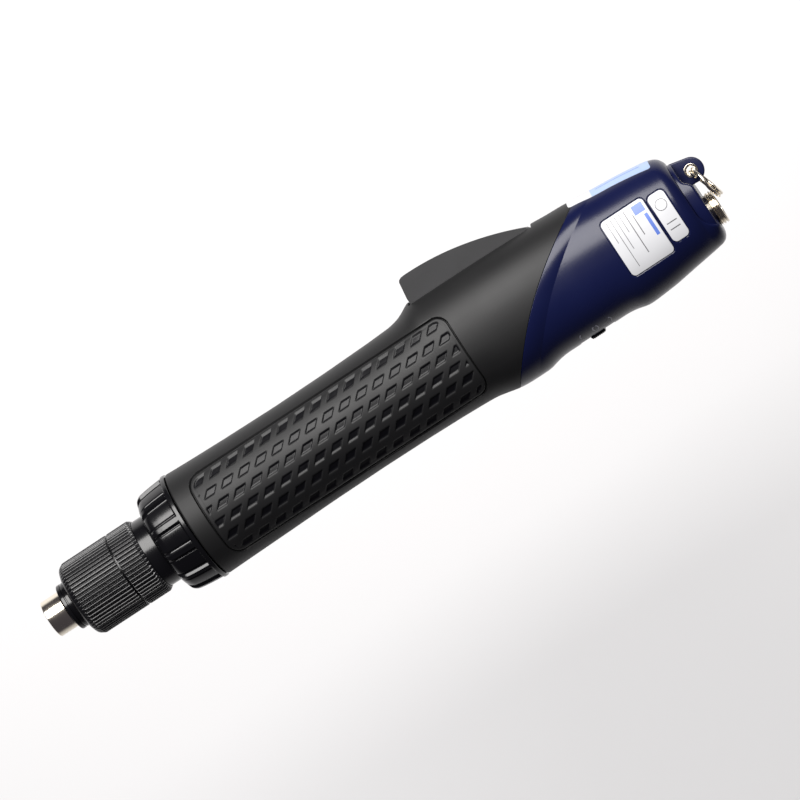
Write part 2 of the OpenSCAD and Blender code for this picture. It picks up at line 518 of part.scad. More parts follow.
// ---------- labels ----------
module side_label() color("white") skin_patch([223.1, 224, 228, 232, 236, 239.2], [-36, -30, -22.5, -15, -7.5, 0, 7.5, 15, 22.5, 30, 33], -0.25, -0.03);
module small_label() color("white") skin_patch([240.5, 244, 246, 246.5], [-31, -30, -22.5, -15, -7.5, 0, 7.5, 15, 22.5, 30], -0.22, -0.03);
module top_label() color("lightblue") intersection() {
  skin_tube([222, 224, 228, 232, 236, 240, 244, 245.6], full_t, -0.29, -0.07);
  box([221, 10, -9.2], [246, 30, 9.2]);
}

bit_sleeve();
spindle();
bit_detent_ball();
sleeve_clip();
sleeve_wave_spring();
nose_bushing();
clutch_housing();
spring_pusher();
torque_ring();
lock_ring();
clutch_spring();
thrust_washer();
clutch_plate();
clutch_balls();
clutch_cam();
coupling_nut();
gear_case();
carrier_bearing();
planet_carrier();
planet_gear_1();
planet_gear_2();
planet_gear_3();
ring_gear();
sun_pinion();
motor_shaft();
rotor_magnet();
motor_front_bell();
motor_can();
stator_core();
stator_windings();
motor_front_bearing();
motor_rear_bearing();
motor_end_bell();
motor_sleeves();
grip_shell_left();
grip_shell_right();
grip_pad_left();
grip_pad_right();
grip_screws();
rear_housing();
lever();
lever_pin();
lever_spring();
start_switch();
switch_plunger();
control_board();
board_components();
fr_switch();
fr_slider();
end_cap();
cap_screws();
lug_eyelet();
split_ring();
inlet_shell();
inlet_insert();
inlet_pins();
inlet_nut();
side_label();
small_label();
top_label();
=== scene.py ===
import bpy
import bmesh
import math
import json
import numpy as np
from mathutils import Vector, Matrix


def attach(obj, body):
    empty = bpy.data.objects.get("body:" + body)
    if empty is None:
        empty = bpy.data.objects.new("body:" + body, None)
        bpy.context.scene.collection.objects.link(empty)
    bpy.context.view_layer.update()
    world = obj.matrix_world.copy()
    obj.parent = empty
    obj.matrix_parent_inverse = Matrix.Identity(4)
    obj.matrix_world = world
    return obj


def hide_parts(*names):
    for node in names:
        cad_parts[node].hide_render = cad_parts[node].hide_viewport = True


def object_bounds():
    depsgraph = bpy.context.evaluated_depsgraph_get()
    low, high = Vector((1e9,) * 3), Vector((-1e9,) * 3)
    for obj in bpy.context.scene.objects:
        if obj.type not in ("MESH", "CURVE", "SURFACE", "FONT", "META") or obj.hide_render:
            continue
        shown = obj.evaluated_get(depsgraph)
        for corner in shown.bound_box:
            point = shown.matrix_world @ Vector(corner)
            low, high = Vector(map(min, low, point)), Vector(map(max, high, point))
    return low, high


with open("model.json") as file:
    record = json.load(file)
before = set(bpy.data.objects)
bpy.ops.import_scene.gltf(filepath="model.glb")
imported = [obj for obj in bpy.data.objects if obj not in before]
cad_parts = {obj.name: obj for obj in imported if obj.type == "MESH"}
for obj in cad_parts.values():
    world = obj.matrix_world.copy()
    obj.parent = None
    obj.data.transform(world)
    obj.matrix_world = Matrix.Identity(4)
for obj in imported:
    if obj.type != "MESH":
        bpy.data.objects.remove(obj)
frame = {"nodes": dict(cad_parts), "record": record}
cad_low, cad_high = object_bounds()
N = frame["nodes"]
RAD = math.pi / 180.0

# ------------------------------------------------------------------ surface of the mouldings (mm)
TOP = [[57.6, 19.1], [66, 18.8], [80, 18.45], [100, 18.2], [120, 18.4], [137, 18.85], [146, 19.3], [150, 20.2],
       [153, 21.8], [155.4, 23.1], [180, 22.9], [195, 22.6], [203, 22.3], [208, 21.9], [214, 21.7], [220, 21.2],
       [226, 20.6], [232, 20.2], [238, 19.6], [244, 18.8], [246, 18.4], [247.4, 17.9], [248.6, 17], [249.4, 15.8],
       [249.9, 14.8], [256, 14.4]]
LOW = [[57.6, 19.1], [66, 18.9], [80, 18.6], [100, 18.15], [120, 17.95], [137, 18.05], [150, 18.3], [158, 18.6],
       [163, 18.85], [167, 19.7], [171, 20.6], [175, 20.9], [183, 20.9], [186, 19.9], [189.5, 19.45], [214, 19.5],
       [217, 19.9], [220.5, 20.95], [224, 20.85], [232, 20.2], [240, 19], [248, 17.9], [251.6, 17.3], [253, 16.6],
       [253.8, 15.6], [254.3, 14.4], [256, 14]]
WID = [[57.6, 19.1], [66, 18.85], [80, 18.5], [100, 18.2], [120, 18.1], [137, 18.2], [150, 18.5], [165, 19],
       [180, 19.2], [200, 19.3], [220, 19], [232, 18.4], [244, 17.2], [246.6, 16.8], [248.2, 16.1], [249.2, 15.3],
       [249.8, 14.7], [256, 14.4]]
SQ = [[57.6, 2], [130, 2], [145, 2.1], [160, 2.2], [180, 2.25], [230, 2.25], [256, 2.2]]
SEAM = [[-30, 161.8], [-20, 171.6], [-10, 180.2], [0, 189.8], [10, 202.5], [20, 217.8], [30, 233]]


def smoothed(tab, sigma, tail=None, step=0.1):
    xs = np.array([p[0] for p in tab], float)
    ys = np.array([p[1] for p in tab], float)
    g = np.arange(xs[0] - 14, xs[-1] + 14, step)
    v = np.interp(g, xs, ys)
    lo, hi = g < xs[0], g > xs[-1]
    v[lo] = ys[0] + (g[lo] - xs[0]) * (ys[1] - ys[0]) / (xs[1] - xs[0])
    v[hi] = ys[-1] + (g[hi] - xs[-1]) * (ys[-1] - ys[-2]) / (xs[-1] - xs[-2])

    def blur(s):
        k = np.arange(-int(4 * s / step), int(4 * s / step) + 1) * step
        w = np.exp(-k * k / (2 * s * s))
        return np.convolve(np.pad(v, len(k) // 2, mode="reflect", reflect_type="odd"), w / w.sum(), mode="valid")
    out = blur(sigma)
    if tail:
        f = np.clip((g - tail[0]) / tail[1], 0, 1)
        out = out * (1 - f) + blur(tail[2]) * f
    return g, out


T_TOP, T_LOW = smoothed(TOP, 1.1, (243, 3, 0.3)), smoothed(LOW, 1.2, (245, 3, 0.25))
T_WID, T_SQ = smoothed(WID, 2.5, (243, 3, 0.35)), smoothed(SQ, 5)
T_SEAM = smoothed(SEAM, 3.0)


def at(tab, x):
    return np.interp(x, tab[0], tab[1])


def sstep(t):
    t = np.clip(t, 0, 1)
    return t * t * (3 - 2 * t)


def seam_x(y):
    return at(T_SEAM, y)


def skin(x, t, d=0.0, blue=True):
    """Point of the moulded surface; t in degrees, 0 = left side, 90 = top; d = depth below the skin."""
    x, t, d = np.broadcast_arrays(np.asarray(x, float), np.asarray(t, float), np.asarray(d, float))
    s, c = np.sin(t * RAD), np.cos(t * RAD)
    h = np.where(s >= 0, at(T_TOP, x), at(T_LOW, x)) - d
    w = at(T_WID, x) - d
    n = at(T_SQ, x)
    y = h * np.abs(s) ** (2 / n) * np.sign(s)
    z = w * np.abs(c) ** (2 / n) * np.sign(c)
    if blue:
        q = np.clip((x - seam_x(y)) / 7.5, 0, 1)
        z = z * (1 - 0.05 * q ** 1.8)
    return np.stack([x, y, z], -1)


def t_of_y(x, y):
    """Angle on the left side where the skin reaches height y."""
    x, y = np.broadcast_arrays(np.asarray(x, float), np.asarray(y, float))
    h = np.where(y >= 0, at(T_TOP, x), at(T_LOW, x))
    s = np.clip(np.abs(y) / h, 0, 1) ** (at(T_SQ, x) / 2)
    return np.arcsin(np.clip(s, 0, 1)) / RAD * np.sign(y)


def t_of_z(x, z, k=1.0):
    """Angle from the side at which the skin's half width falls to z."""
    c = np.clip(z / (at(T_WID, x) * k), 0, 1) ** (at(T_SQ, x) / 2)
    return np.arccos(np.clip(c, 0, 1)) / RAD


def seam_at(t):
    """x of the seam on the skin at angle t."""
    t = np.asarray(t, float)
    x = np.full(t.shape, 195.0)
    for _ in range(40):
        x = 0.5 * x + 0.5 * seam_x(skin(x, t)[..., 1])
    return x


def fillet_drop(s, r):
    """How far a rounded edge of radius r lies below the face at distance s from the edge."""
    s = np.clip(s, 0, r)
    return r - np.sqrt(np.maximum(r * r - (r - s) ** 2, 0))


# ------------------------------------------------------------------ mesh helpers
def new_object(name, verts, faces, mats, body, replaces=(), mi=None, sharp=32, recalc=True, flat=False):
    me = bpy.data.meshes.new(name)
    v = np.asarray(verts, float) * 0.001
    me.from_pydata(v.tolist(), [], [list(map(int, f)) for f in faces])
    for m in mats:
        me.materials.append(m)
    if mi is not None:
        me.polygons.foreach_set("material_index", np.asarray(mi, np.int32))
    bm = bmesh.new()
    bm.from_mesh(me)
    loose = [q for q in bm.verts if not q.link_faces]
    if loose:
        bmesh.ops.delete(bm, geom=loose, context="VERTS")
    if recalc:
        bmesh.ops.recalc_face_normals(bm, faces=bm.faces)
    bm.to_mesh(me)
    bm.free()
    ob = bpy.data.objects.new(name, me)
    bpy.context.scene.collection.objects.link(ob)
    finish_piece(ob, body, replaces, sharp)
    return ob


def finish_piece(ob, body, replaces=(), sharp=32):
    ob.data.shade_smooth()
    ob.data.set_sharp_from_angle(angle=sharp * RAD)
    if body:
        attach(ob, body)
    if replaces:
        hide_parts(*replaces)


def grid_faces(ni, nj, closed=False, base=0):
    i = np.arange(ni - 1)[:, None]
    j = np.arange(nj if closed else nj - 1)[None, :]
    a = i * nj + j
    b = i * nj + (j + 1) % nj
    return np.stack([a, b, b + nj, a + nj], -1) + base


def sheets(outer, inner, keep=None, closed=False, mi=None):
    """Closed solid between two equal grids; keep says which cells exist. Gives verts, faces, material indices."""
    ni, nj = outer.shape[:2]
    cj = nj if closed else nj - 1
    if keep is None:
        keep = np.ones((ni - 1, cj), bool)
    m = ni * nj
    fo = grid_faces(ni, nj, closed)
    mo = np.zeros((ni - 1, cj), int) if mi is None else mi
    faces = [fo[keep], fo[keep][:, ::-1] + m]
    mats = [mo[keep], np.zeros(keep.sum(), int)]
    idx = lambda i, j: i * nj + j % nj
    pad = np.zeros((ni + 1, cj + 2), bool)
    pad[1:-1, 1:-1] = keep
    if closed:
        pad[1:-1, 0], pad[1:-1, -1] = keep[:, -1], keep[:, 0]
    core = pad[1:-1, 1:-1]
    walls = []
    ii, jj = np.nonzero(core & ~pad[:-2, 1:-1])
    walls += [[idx(a, b), idx(a, b + 1), idx(a, b + 1) + m, idx(a, b) + m] for a, b in zip(ii, jj)]
    ii, jj = np.nonzero(core & ~pad[2:, 1:-1])
    walls += [[idx(a + 1, b + 1), idx(a + 1, b), idx(a + 1, b) + m, idx(a + 1, b + 1) + m] for a, b in zip(ii, jj)]
    ii, jj = np.nonzero(core & ~pad[1:-1, :-2])
    walls += [[idx(a + 1, b), idx(a, b), idx(a, b) + m, idx(a + 1, b) + m] for a, b in zip(ii, jj)]
    ii, jj = np.nonzero(core & ~pad[1:-1, 2:])
    walls += [[idx(a, b + 1), idx(a + 1, b + 1), idx(a + 1, b + 1) + m, idx(a, b + 1) + m] for a, b in zip(ii, jj)]
    faces = np.concatenate([faces[0], faces[1], np.array(walls, int).reshape(-1, 4)])
    mats = np.concatenate([mats[0], mats[1], np.zeros(len(walls), int)])
    return np.concatenate([outer.reshape(-1, 3), inner.reshape(-1, 3)]), faces, mats


def rounded(points, radius, seg=5, closed=True):
    """Outline with its corners rounded; a point may carry its own radius as a third number."""
    p = [np.array(q[:2], float) for q in points]
    r = [q[2] if len(q) > 2 else radius for q in points]
    out, n = [], len(p)
    for i in range(n):
        if not closed and i in (0, n - 1) or r[i] <= 0:
            out.append(p[i])
            continue
        a, b, c = p[i - 1], p[i], p[(i + 1) % n]
        u, v = a - b, c - b
        lu, lv = np.linalg.norm(u), np.linalg.norm(v)
        u, v = u / lu, v / lv
        ang = math.acos(max(-1, min(1, float(u @ v))))
        if ang > 3.1:
            out.append(b)
            continue
        k = min(r[i] / math.tan(ang / 2), 0.48 * lu, 0.48 * lv)
        s, e = b + u * k, b + v * k
        for q in np.linspace(0, 1, seg + 1):
            out.append((1 - q) ** 2 * s + 2 * q * (1 - q) * (b + 0.12 * ((s + e) / 2 - b)) + q * q * e)
    return np.array(out)


def lathe(profile, n, centre=(0.0, 0.0), shape=None, axis="x"):
    """Closed ring of revolution from a closed outline of (along, radius); shape(along, radius, angle) may change the radius."""
    p = np.asarray(profile, float)
    phi = np.arange(n) * 2 * math.pi / n if np.isscalar(n) else np.asarray(n, float)
    m = len(phi)
    A, P = np.meshgrid(p[:, 0], phi, indexing="ij")
    R = np.repeat(p[:, 1][:, None], m, 1)
    if shape is not None:
        R = shape(A, R, P)
    if axis == "x":
        v = np.stack([A, centre[0] + R * np.cos(P), centre[1] + R * np.sin(P)], -1)
    else:
        v = np.stack([centre[0] + R * np.cos(P), centre[1] + R * np.sin(P), A], -1)
    k = len(p)
    i = np.arange(k)[:, None]
    j = np.arange(m)[None, :]
    f = np.stack([i * m + j, i * m + (j + 1) % m, ((i + 1) % k) * m + (j + 1) % m, ((i + 1) % k) * m + j], -1)
    return v.reshape(-1, 3), f.reshape(-1, 4)


def join(parts):
    """Several (verts, faces[, mats]) as one."""
    V, F, M, o = [], [], [], 0
    for q in parts:
        v = np.asarray(q[0], float)
        V.append(v)
        F += [[int(a) + o for a in f] for f in q[1]]
        M += list(q[2]) if len(q) > 2 and q[2] is not None else [0] * len(q[1])
        o += len(v)
    return np.concatenate(V), F, M


def resample(p, step, closed=True):
    p = np.asarray(p, float)
    if closed:
        p = np.vstack([p, p[:1]])
    s = np.concatenate([[0], np.cumsum(np.linalg.norm(np.diff(p, axis=0), axis=1))])
    n = max(8, int(round(s[-1] / step)))
    g = np.linspace(0, s[-1], n + 1)
    out = np.stack([np.interp(g, s, p[:, k]) for k in range(2)], -1)
    return out[:-1] if closed else out


def inset(p, d):
    """Closed outline, counter-clockwise, moved inwards by d."""
    a, b = np.roll(p, 1, 0), np.roll(p, -1, 0)
    e1, e2 = p - a, b - p
    n1 = np.stack([-e1[:, 1], e1[:, 0]], -1)
    n2 = np.stack([-e2[:, 1], e2[:, 0]], -1)
    n1 /= np.linalg.norm(n1, axis=1)[:, None] + 1e-12
    n2 /= np.linalg.norm(n2, axis=1)[:, None] + 1e-12
    m = n1 + n2
    m /= np.maximum((m * m).sum(1) / 2, 0.35)[:, None]
    q = p + m * d
    if d < 0.3:
        return q
    seg = b - p
    w = q[:, None, :] - p[None, :, :]
    k = np.clip((w * seg[None]).sum(-1) / np.maximum((seg * seg).sum(-1), 1e-12)[None], 0, 1)
    near = np.linalg.norm(w - k[..., None] * seg[None], axis=-1).min(1)
    good = near > 0.93 * d
    i = np.arange(len(p))
    if good.all() or good.sum() < 8:
        return q
    gi = i[good]
    ext = np.concatenate([gi - len(p), gi, gi + len(p)])
    return np.stack([np.interp(i, ext, np.tile(q[good, c], 3)) for c in range(2)], -1)


def stack(outline, levels, mats=None):
    """Rings of one outline at (inset, z) levels, closed by a flat face at each end."""
    n = len(outline)
    V = np.concatenate([np.column_stack([inset(outline, d), np.full(n, z)]) for d, z in levels])
    F, M = [], []
    for k in range(len(levels) - 1):
        for j in range(n):
            F.append([k * n + j, k * n + (j + 1) % n, (k + 1) * n + (j + 1) % n, (k + 1) * n + j])
            M.append(0)
    F.append(list(range(n))[::-1])
    F.append([(len(levels) - 1) * n + j for j in range(n)])
    M += [mats or 0, mats or 0]
    return V, F, M


def edge_levels(z0, z1, r, seg=4):
    a = [(r * (1 - math.sin(k / seg * math.pi / 2)), z0 + r * (1 - math.cos(k / seg * math.pi / 2))) for k in range(seg + 1)]
    b = [(q[0], z0 + z1 - q[1]) for q in a[::-1]]
    return a + b


def temp_object(verts, faces):
    me = bpy.data.meshes.new("tool")
    me.from_pydata((np.asarray(verts, float) * 0.001).tolist(), [], [list(map(int, f)) for f in faces])
    bm = bmesh.new()
    bm.from_mesh(me)
    bmesh.ops.recalc_face_normals(bm, faces=bm.faces)
    bm.to_mesh(me)
    bm.free()
    ob = bpy.data.objects.new("tool", me)
    bpy.context.scene.collection.objects.link(ob)
    return ob


def boolean(ob, parts, op="DIFFERENCE"):
    """Cut or add closed solids, each (verts, faces), and apply it."""
    for q in parts:
        tool = temp_object(q[0], q[1])
        m = ob.modifiers.new("b", "BOOLEAN")
        m.operation, m.solver, m.object = op, "EXACT", tool
        deps = bpy.context.evaluated_depsgraph_get()
        me = bpy.data.meshes.new_from_object(ob.evaluated_get(deps))
        ob.modifiers.clear()
        old = ob.data
        ob.data = me
        bpy.data.meshes.remove(old)
        bpy.data.objects.remove(tool)


def merge(ob, other):
    """Put the mesh of another piece into this one and drop the other."""
    slots = [m for m in ob.data.materials]
    bm = bmesh.new()
    bm.from_mesh(ob.data)
    off = len(bm.faces)
    bm.from_mesh(other.data)
    bm.faces.ensure_lookup_table()
    for q in bm.faces[off:]:
        m = other.data.materials[q.material_index] if other.data.materials else slots[0]
        q.material_index = slots.index(m) if m in slots else 0
    bm.to_mesh(ob.data)
    bm.free()
    old = other.data
    bpy.data.objects.remove(other)
    bpy.data.meshes.remove(old)


def cylinder_x(x0, x1, r, cy=0.0, cz=0.0, n=64):
    phi = np.arange(n) * 2 * math.pi / n
    a = np.column_stack([np.full(n, x0), cy + r * np.cos(phi), cz + r * np.sin(phi)])
    b = a + [x1 - x0, 0, 0]
    F = [[j, (j + 1) % n, n + (j + 1) % n, n + j] for j in range(n)]
    return np.vstack([a, b]), F + [list(range(n))[::-1], list(range(n, 2 * n))]


def cylinder_z(z0, z1, r, cx, cy, n=64):
    v, f = cylinder_x(z0, z1, r, 0, 0, n)
    return np.column_stack([v[:, 1] + cx, v[:, 2] + cy, v[:, 0]]), f


def prism(outline, z0, z1):
    p = np.asarray(outline, float)
    n = len(p)
    v = np.vstack([np.column_stack([p, np.full(n, z0)]), np.column_stack([p, np.full(n, z1)])])
    return v, [[j, (j + 1) % n, n + (j + 1) % n, n + j] for j in range(n)] + [list(range(n))[::-1], list(range(n, 2 * n))]


def block(a, b):
    return prism([[a[0], a[1]], [b[0], a[1]], [b[0], b[1]], [a[0], b[1]]], a[2], b[2])


def sweep(path, r, n=18, start=None):
    """Round bar along a path, with slightly rounded flat ends."""
    path = np.asarray(path, float)
    t = np.gradient(path, axis=0)
    t /= np.linalg.norm(t, axis=1)[:, None]
    u = np.cross(t[0], start if start is not None else [0, 0, 1])
    u /= np.linalg.norm(u)
    rings = []
    k = len(path)
    for i in range(k):
        u = u - t[i] * (u @ t[i])
        u /= np.linalg.norm(u)
        w = np.cross(t[i], u)
        phi = np.arange(n) * 2 * math.pi / n
        rings.append((i, u.copy(), w, r))
    V = []
    phi = np.arange(n) * 2 * math.pi / n
    def ring(c, u, w, rr):
        return c + rr * (np.cos(phi)[:, None] * u + np.sin(phi)[:, None] * w)
    V.append(ring(path[0] - t[0] * 0.08 * r, rings[0][1], rings[0][2], r * 0.82))
    for i, u, w, rr in rings:
        V.append(ring(path[i], u, w, rr))
    V.append(ring(path[-1] + t[-1] * 0.08 * r, rings[-1][1], rings[-1][2], r * 0.82))
    m = len(V)
    F = [[a * n + j, a * n + (j + 1) % n, (a + 1) * n + (j + 1) % n, (a + 1) * n + j] for a in range(m - 1) for j in range(n)]
    F += [list(range(n))[::-1], [(m - 1) * n + j for j in range(n)]]
    return np.concatenate(V), F


# ------------------------------------------------------------------ materials
def material(name, base, rough, metallic=0.0, vary=0.12, blotch=0.02, grain=0.0002, bump=0.0, coat=0.0, coat_rough=0.08,
             spec=0.5, rough_vary=0.06, lines=None, line_bump=0.0, second=None, second_at=(0.5, 0.62), detail=4.0,
             sheen=0.0, speck=None, stretch=(1, 1, 1), tint=None):
    """Procedural finish in the object's own coordinates (metres). lines = (axis scale vector) for turned or drawn marks."""
    m = bpy.data.materials.new(name)
    m.use_nodes = True
    nt = m.node_tree
    nd, ln = nt.nodes, nt.links
    bs = nd["Principled BSDF"]
    bs.inputs["Metallic"].default_value = metallic
    bs.inputs["Specular IOR Level"].default_value = spec
    bs.inputs["Coat Weight"].default_value = coat
    bs.inputs["Coat Roughness"].default_value = coat_rough
    if sheen:
        bs.inputs["Sheen Weight"].default_value = sheen
        bs.inputs["Sheen Roughness"].default_value = 0.5
    tc = nd.new("ShaderNodeTexCoord")
    mp = nd.new("ShaderNodeMapping")
    mp.inputs["Scale"].default_value = stretch
    ln.new(tc.outputs["Object"], mp.inputs["Vector"])
    big = nd.new("ShaderNodeTexNoise")
    big.inputs["Scale"].default_value = 1.0 / blotch
    big.inputs["Detail"].default_value = detail
    big.inputs["Roughness"].default_value = 0.55
    ln.new(mp.outputs["Vector"], big.inputs["Vector"])
    fine = nd.new("ShaderNodeTexNoise")
    fine.inputs["Scale"].default_value = 1.0 / grain
    fine.inputs["Detail"].default_value = 3.0
    ln.new(tc.outputs["Object"], fine.inputs["Vector"])
    ramp = nd.new("ShaderNodeValToRGB")
    lo = [c * (1 - vary) for c in base]
    hi = [c * (1 + vary) for c in base]
    if tint:
        hi = [a * b for a, b in zip(hi, tint)]
    ramp.color_ramp.elements[0].position, ramp.color_ramp.elements[0].color = 0.3, (*lo, 1)
    ramp.color_ramp.elements[1].position, ramp.color_ramp.elements[1].color = 0.7, (*hi, 1)
    ln.new(big.outputs["Fac"], ramp.inputs["Fac"])
    colour = ramp.outputs["Color"]
    if speck:
        sp = nd.new("ShaderNodeTexVoronoi")
        sp.inputs["Scale"].default_value = 1.0 / speck[1]
        ln.new(tc.outputs["Object"], sp.inputs["Vector"])
        mr = nd.new("ShaderNodeMapRange")
        mr.inputs["From Min"].default_value, mr.inputs["From Max"].default_value = 0.05, 0.3
        mr.inputs["To Min"].default_value, mr.inputs["To Max"].default_value = speck[2], 0.0
        ln.new(sp.outputs["Distance"], mr.inputs["Value"])
        mx = nd.new("ShaderNodeMix")
        mx.data_type = "RGBA"
        mx.inputs["B"].default_value = (*speck[0], 1)
        ln.new(mr.outputs["Result"], mx.inputs["Factor"])
        ln.new(colour, mx.inputs["A"])
        colour = mx.outputs["Result"]
    ln.new(colour, bs.inputs["Base Color"])
    rr = nd.new("ShaderNodeMapRange")
    rr.inputs["From Min"].default_value, rr.inputs["From Max"].default_value = 0.3, 0.7
    rr.inputs["To Min"].default_value, rr.inputs["To Max"].default_value = max(0.02, rough - rough_vary), rough + rough_vary
    ln.new(big.outputs["Fac"], rr.inputs["Value"])
    ln.new(rr.outputs["Result"], bs.inputs["Roughness"])
    normal = None
    if bump:
        bp = nd.new("ShaderNodeBump")
        bp.inputs["Strength"].default_value = 1.0
        bp.inputs["Distance"].default_value = bump
        ln.new(fine.outputs["Fac"], bp.inputs["Height"])
        normal = bp.outputs["Normal"]
    if lines:
        mp2 = nd.new("ShaderNodeMapping")
        mp2.inputs["Scale"].default_value = lines
        ln.new(tc.outputs["Object"], mp2.inputs["Vector"])
        n2 = nd.new("ShaderNodeTexNoise")
        n2.inputs["Scale"].default_value = 1.0
        n2.inputs["Detail"].default_value = 2.0
        ln.new(mp2.outputs["Vector"], n2.inputs["Vector"])
        b2 = nd.new("ShaderNodeBump")
        b2.inputs["Strength"].default_value = 1.0
        b2.inputs["Distance"].default_value = line_bump
        ln.new(n2.outputs["Fac"], b2.inputs["Height"])
        if normal is not None:
            ln.new(normal, b2.inputs["Normal"])
        normal = b2.outputs["Normal"]
    if normal is not None:
        ln.new(normal, bs.inputs["Normal"])
        if coat:
            ln.new(normal, bs.inputs["Coat Normal"])
    return m


M = {}
M["soft_grip"] = material("soft_grip_shell", (0.0062, 0.0062, 0.0066), 0.50, vary=0.10, blotch=0.03, grain=0.00030,
                          bump=0.000012, spec=0.26, rough_vary=0.04, tint=(1.0, 1.0, 0.97))
M["grip_pad"] = material("soft_grip_pad", (0.0062, 0.0062, 0.0066), 0.50, vary=0.10, blotch=0.02, grain=0.00032,
                         bump=0.000014, spec=0.28, rough_vary=0.05)
# pit floors: darker charcoal that stands in for the shade inside the pits (painted shade); the lower roughness makes
# them glossier
M["pit"] = material("pad_pit_floor", (0.0016, 0.0016, 0.0024), 0.36, vary=0.14, blotch=0.006, grain=0.00022,
                    bump=0.00001, spec=0.22, rough_vary=0.06)
M["blue_gloss"] = material("blue_housing", (0.0034, 0.0052, 0.030), 0.27, vary=0.08, blotch=0.035, grain=0.0009,
                           bump=0.0000035, spec=0.30, rough_vary=0.035)
M["black_gloss"] = material("black_gloss_moulding", (0.0024, 0.0024, 0.0030), 0.18, vary=0.12, blotch=0.02, grain=0.0008,
                            bump=0.000004, spec=0.42, rough_vary=0.03)
M["black_satin"] = material("black_anodised", (0.0040, 0.0040, 0.0048), 0.26, vary=0.12, blotch=0.01, grain=0.00018,
                            bump=0.000003, spec=0.5, rough_vary=0.05, lines=(9000, 60, 60), line_bump=0.0000015)
M["lever"] = material("black_lever_rim", (0.0040, 0.0040, 0.0048), 0.24, vary=0.12, blotch=0.02, grain=0.0005,
                      bump=0.000004, spec=0.5, rough_vary=0.04)
M["lever_grain"] = material("black_lever_grain", (0.0050, 0.0050, 0.0062), 0.48, vary=0.15, blotch=0.01, grain=0.00024,
                            bump=0.00002, spec=0.45, rough_vary=0.05)
M["nickel"] = material("nickel_plate", (0.80, 0.735, 0.62), 0.17, metallic=1.0, vary=0.04, blotch=0.008, grain=0.0004,
                       bump=0.000001, rough_vary=0.035, lines=(16000, 250, 250), line_bump=0.0000022)
M["steel"] = material("ground_steel", (0.50, 0.51, 0.53), 0.28, metallic=1.0, vary=0.07, blotch=0.01, grain=0.0003,
                      bump=0.000001, rough_vary=0.06, lines=(9000, 200, 200), line_bump=0.000003)
M["spring_steel"] = material("drawn_spring_wire", (0.40, 0.40, 0.42), 0.32, metallic=1.0, vary=0.10, blotch=0.004,
                             grain=0.0003, bump=0.000002, rough_vary=0.08)
M["bronze"] = material("sintered_bronze", (0.60, 0.40, 0.20), 0.42, metallic=1.0, vary=0.14, blotch=0.003, grain=0.00025,
                       bump=0.00001, rough_vary=0.08, speck=((0.12, 0.07, 0.03), 0.0005, 0.6))
M["cast_alloy"] = material("die_cast_alloy", (0.52, 0.52, 0.54), 0.46, metallic=1.0, vary=0.09, blotch=0.006,
                           grain=0.0004, bump=0.00002, rough_vary=0.08)
M["copper"] = material("enamelled_copper", (0.62, 0.22, 0.07), 0.30, metallic=1.0, vary=0.12, blotch=0.004,
                       grain=0.0004, bump=0.000004, rough_vary=0.06, lines=(60, 2600, 2600), line_bump=0.00006, coat=0.6)
M["dark_plastic"] = material("dark_moulded_plastic", (0.016, 0.016, 0.018), 0.42, vary=0.14, blotch=0.01, grain=0.00022,
                             bump=0.00001, rough_vary=0.06)
M["rubber"] = material("matt_rubber", (0.014, 0.014, 0.014), 0.72, vary=0.12, blotch=0.008, grain=0.0003, bump=0.00002,
                       rough_vary=0.08, spec=0.3)
M["board"] = material("solder_resist", (0.012, 0.10, 0.035), 0.30, vary=0.18, blotch=0.004, grain=0.0005, bump=0.000006,
                      rough_vary=0.06, coat=0.4, lines=(500, 500, 20), line_bump=0.00001,
                      speck=((0.30, 0.24, 0.10), 0.0035, 0.55))
M["gold"] = material("gold_flash", (0.86, 0.60, 0.22), 0.22, metallic=1.0, vary=0.06, blotch=0.002, grain=0.0002,
                     bump=0.000001, rough_vary=0.04)
M["label_white"] = material("label_film_white", (0.47, 0.475, 0.49), 0.34, vary=0.015, blotch=0.01, grain=0.0002,
                            bump=0.0000025, rough_vary=0.05, spec=0.45)
M["label_blue"] = material("label_film_blue", (0.25, 0.33, 0.50), 0.34, vary=0.03, blotch=0.01, grain=0.0002,
                           bump=0.0000025, rough_vary=0.05)
M["print_grey"] = material("label_print_grey", (0.10, 0.10, 0.105), 0.4, vary=0.10, blotch=0.002, grain=0.0002,
                           bump=0.000002, rough_vary=0.05)
M["print_blue"] = material("label_print_blue", (0.07, 0.13, 0.42), 0.4, vary=0.10, blotch=0.003, grain=0.0002,
                           bump=0.000002, rough_vary=0.05)
M["mark"] = material("pale_mark_paint", (0.30, 0.30, 0.36), 0.4, vary=0.10, blotch=0.003, grain=0.0002, bump=0.000003,
                     rough_vary=0.05)

slot_of = {s["node"]: s["material_slot"] for s in frame["record"]["subparts"]}
for name, ob in N.items():
    m = M.get(slot_of.get(name, "steel"), M["steel"])
    if ob.material_slots:
        for s in ob.material_slots:
            s.material = m
    else:
        ob.data.materials.append(m)

# ------------------------------------------------------------------ nose
v, f = lathe(rounded([[0, 5.75, 0.12], [0, 6.5, 0.35], [6.95, 6.5, 0.3], [6.95, 5.7, 0], [6.5, 5.7, 0], [6.5, 4.95, 0.1],
                      [4.4, 4.95, 0.1], [4.4, 5.75, 0]], 0.1), 192)
v[:, 1:] *= 1.0
r = np.hypot(v[:, 1], v[:, 2])
v[:, 1:] *= np.where(r > 6.2, 6.55 / 6.5, 1.0)[:, None]
new_object("bit_release_sleeve", v, f, [M["nickel"]], "release_sleeve", ["bit_sleeve"])

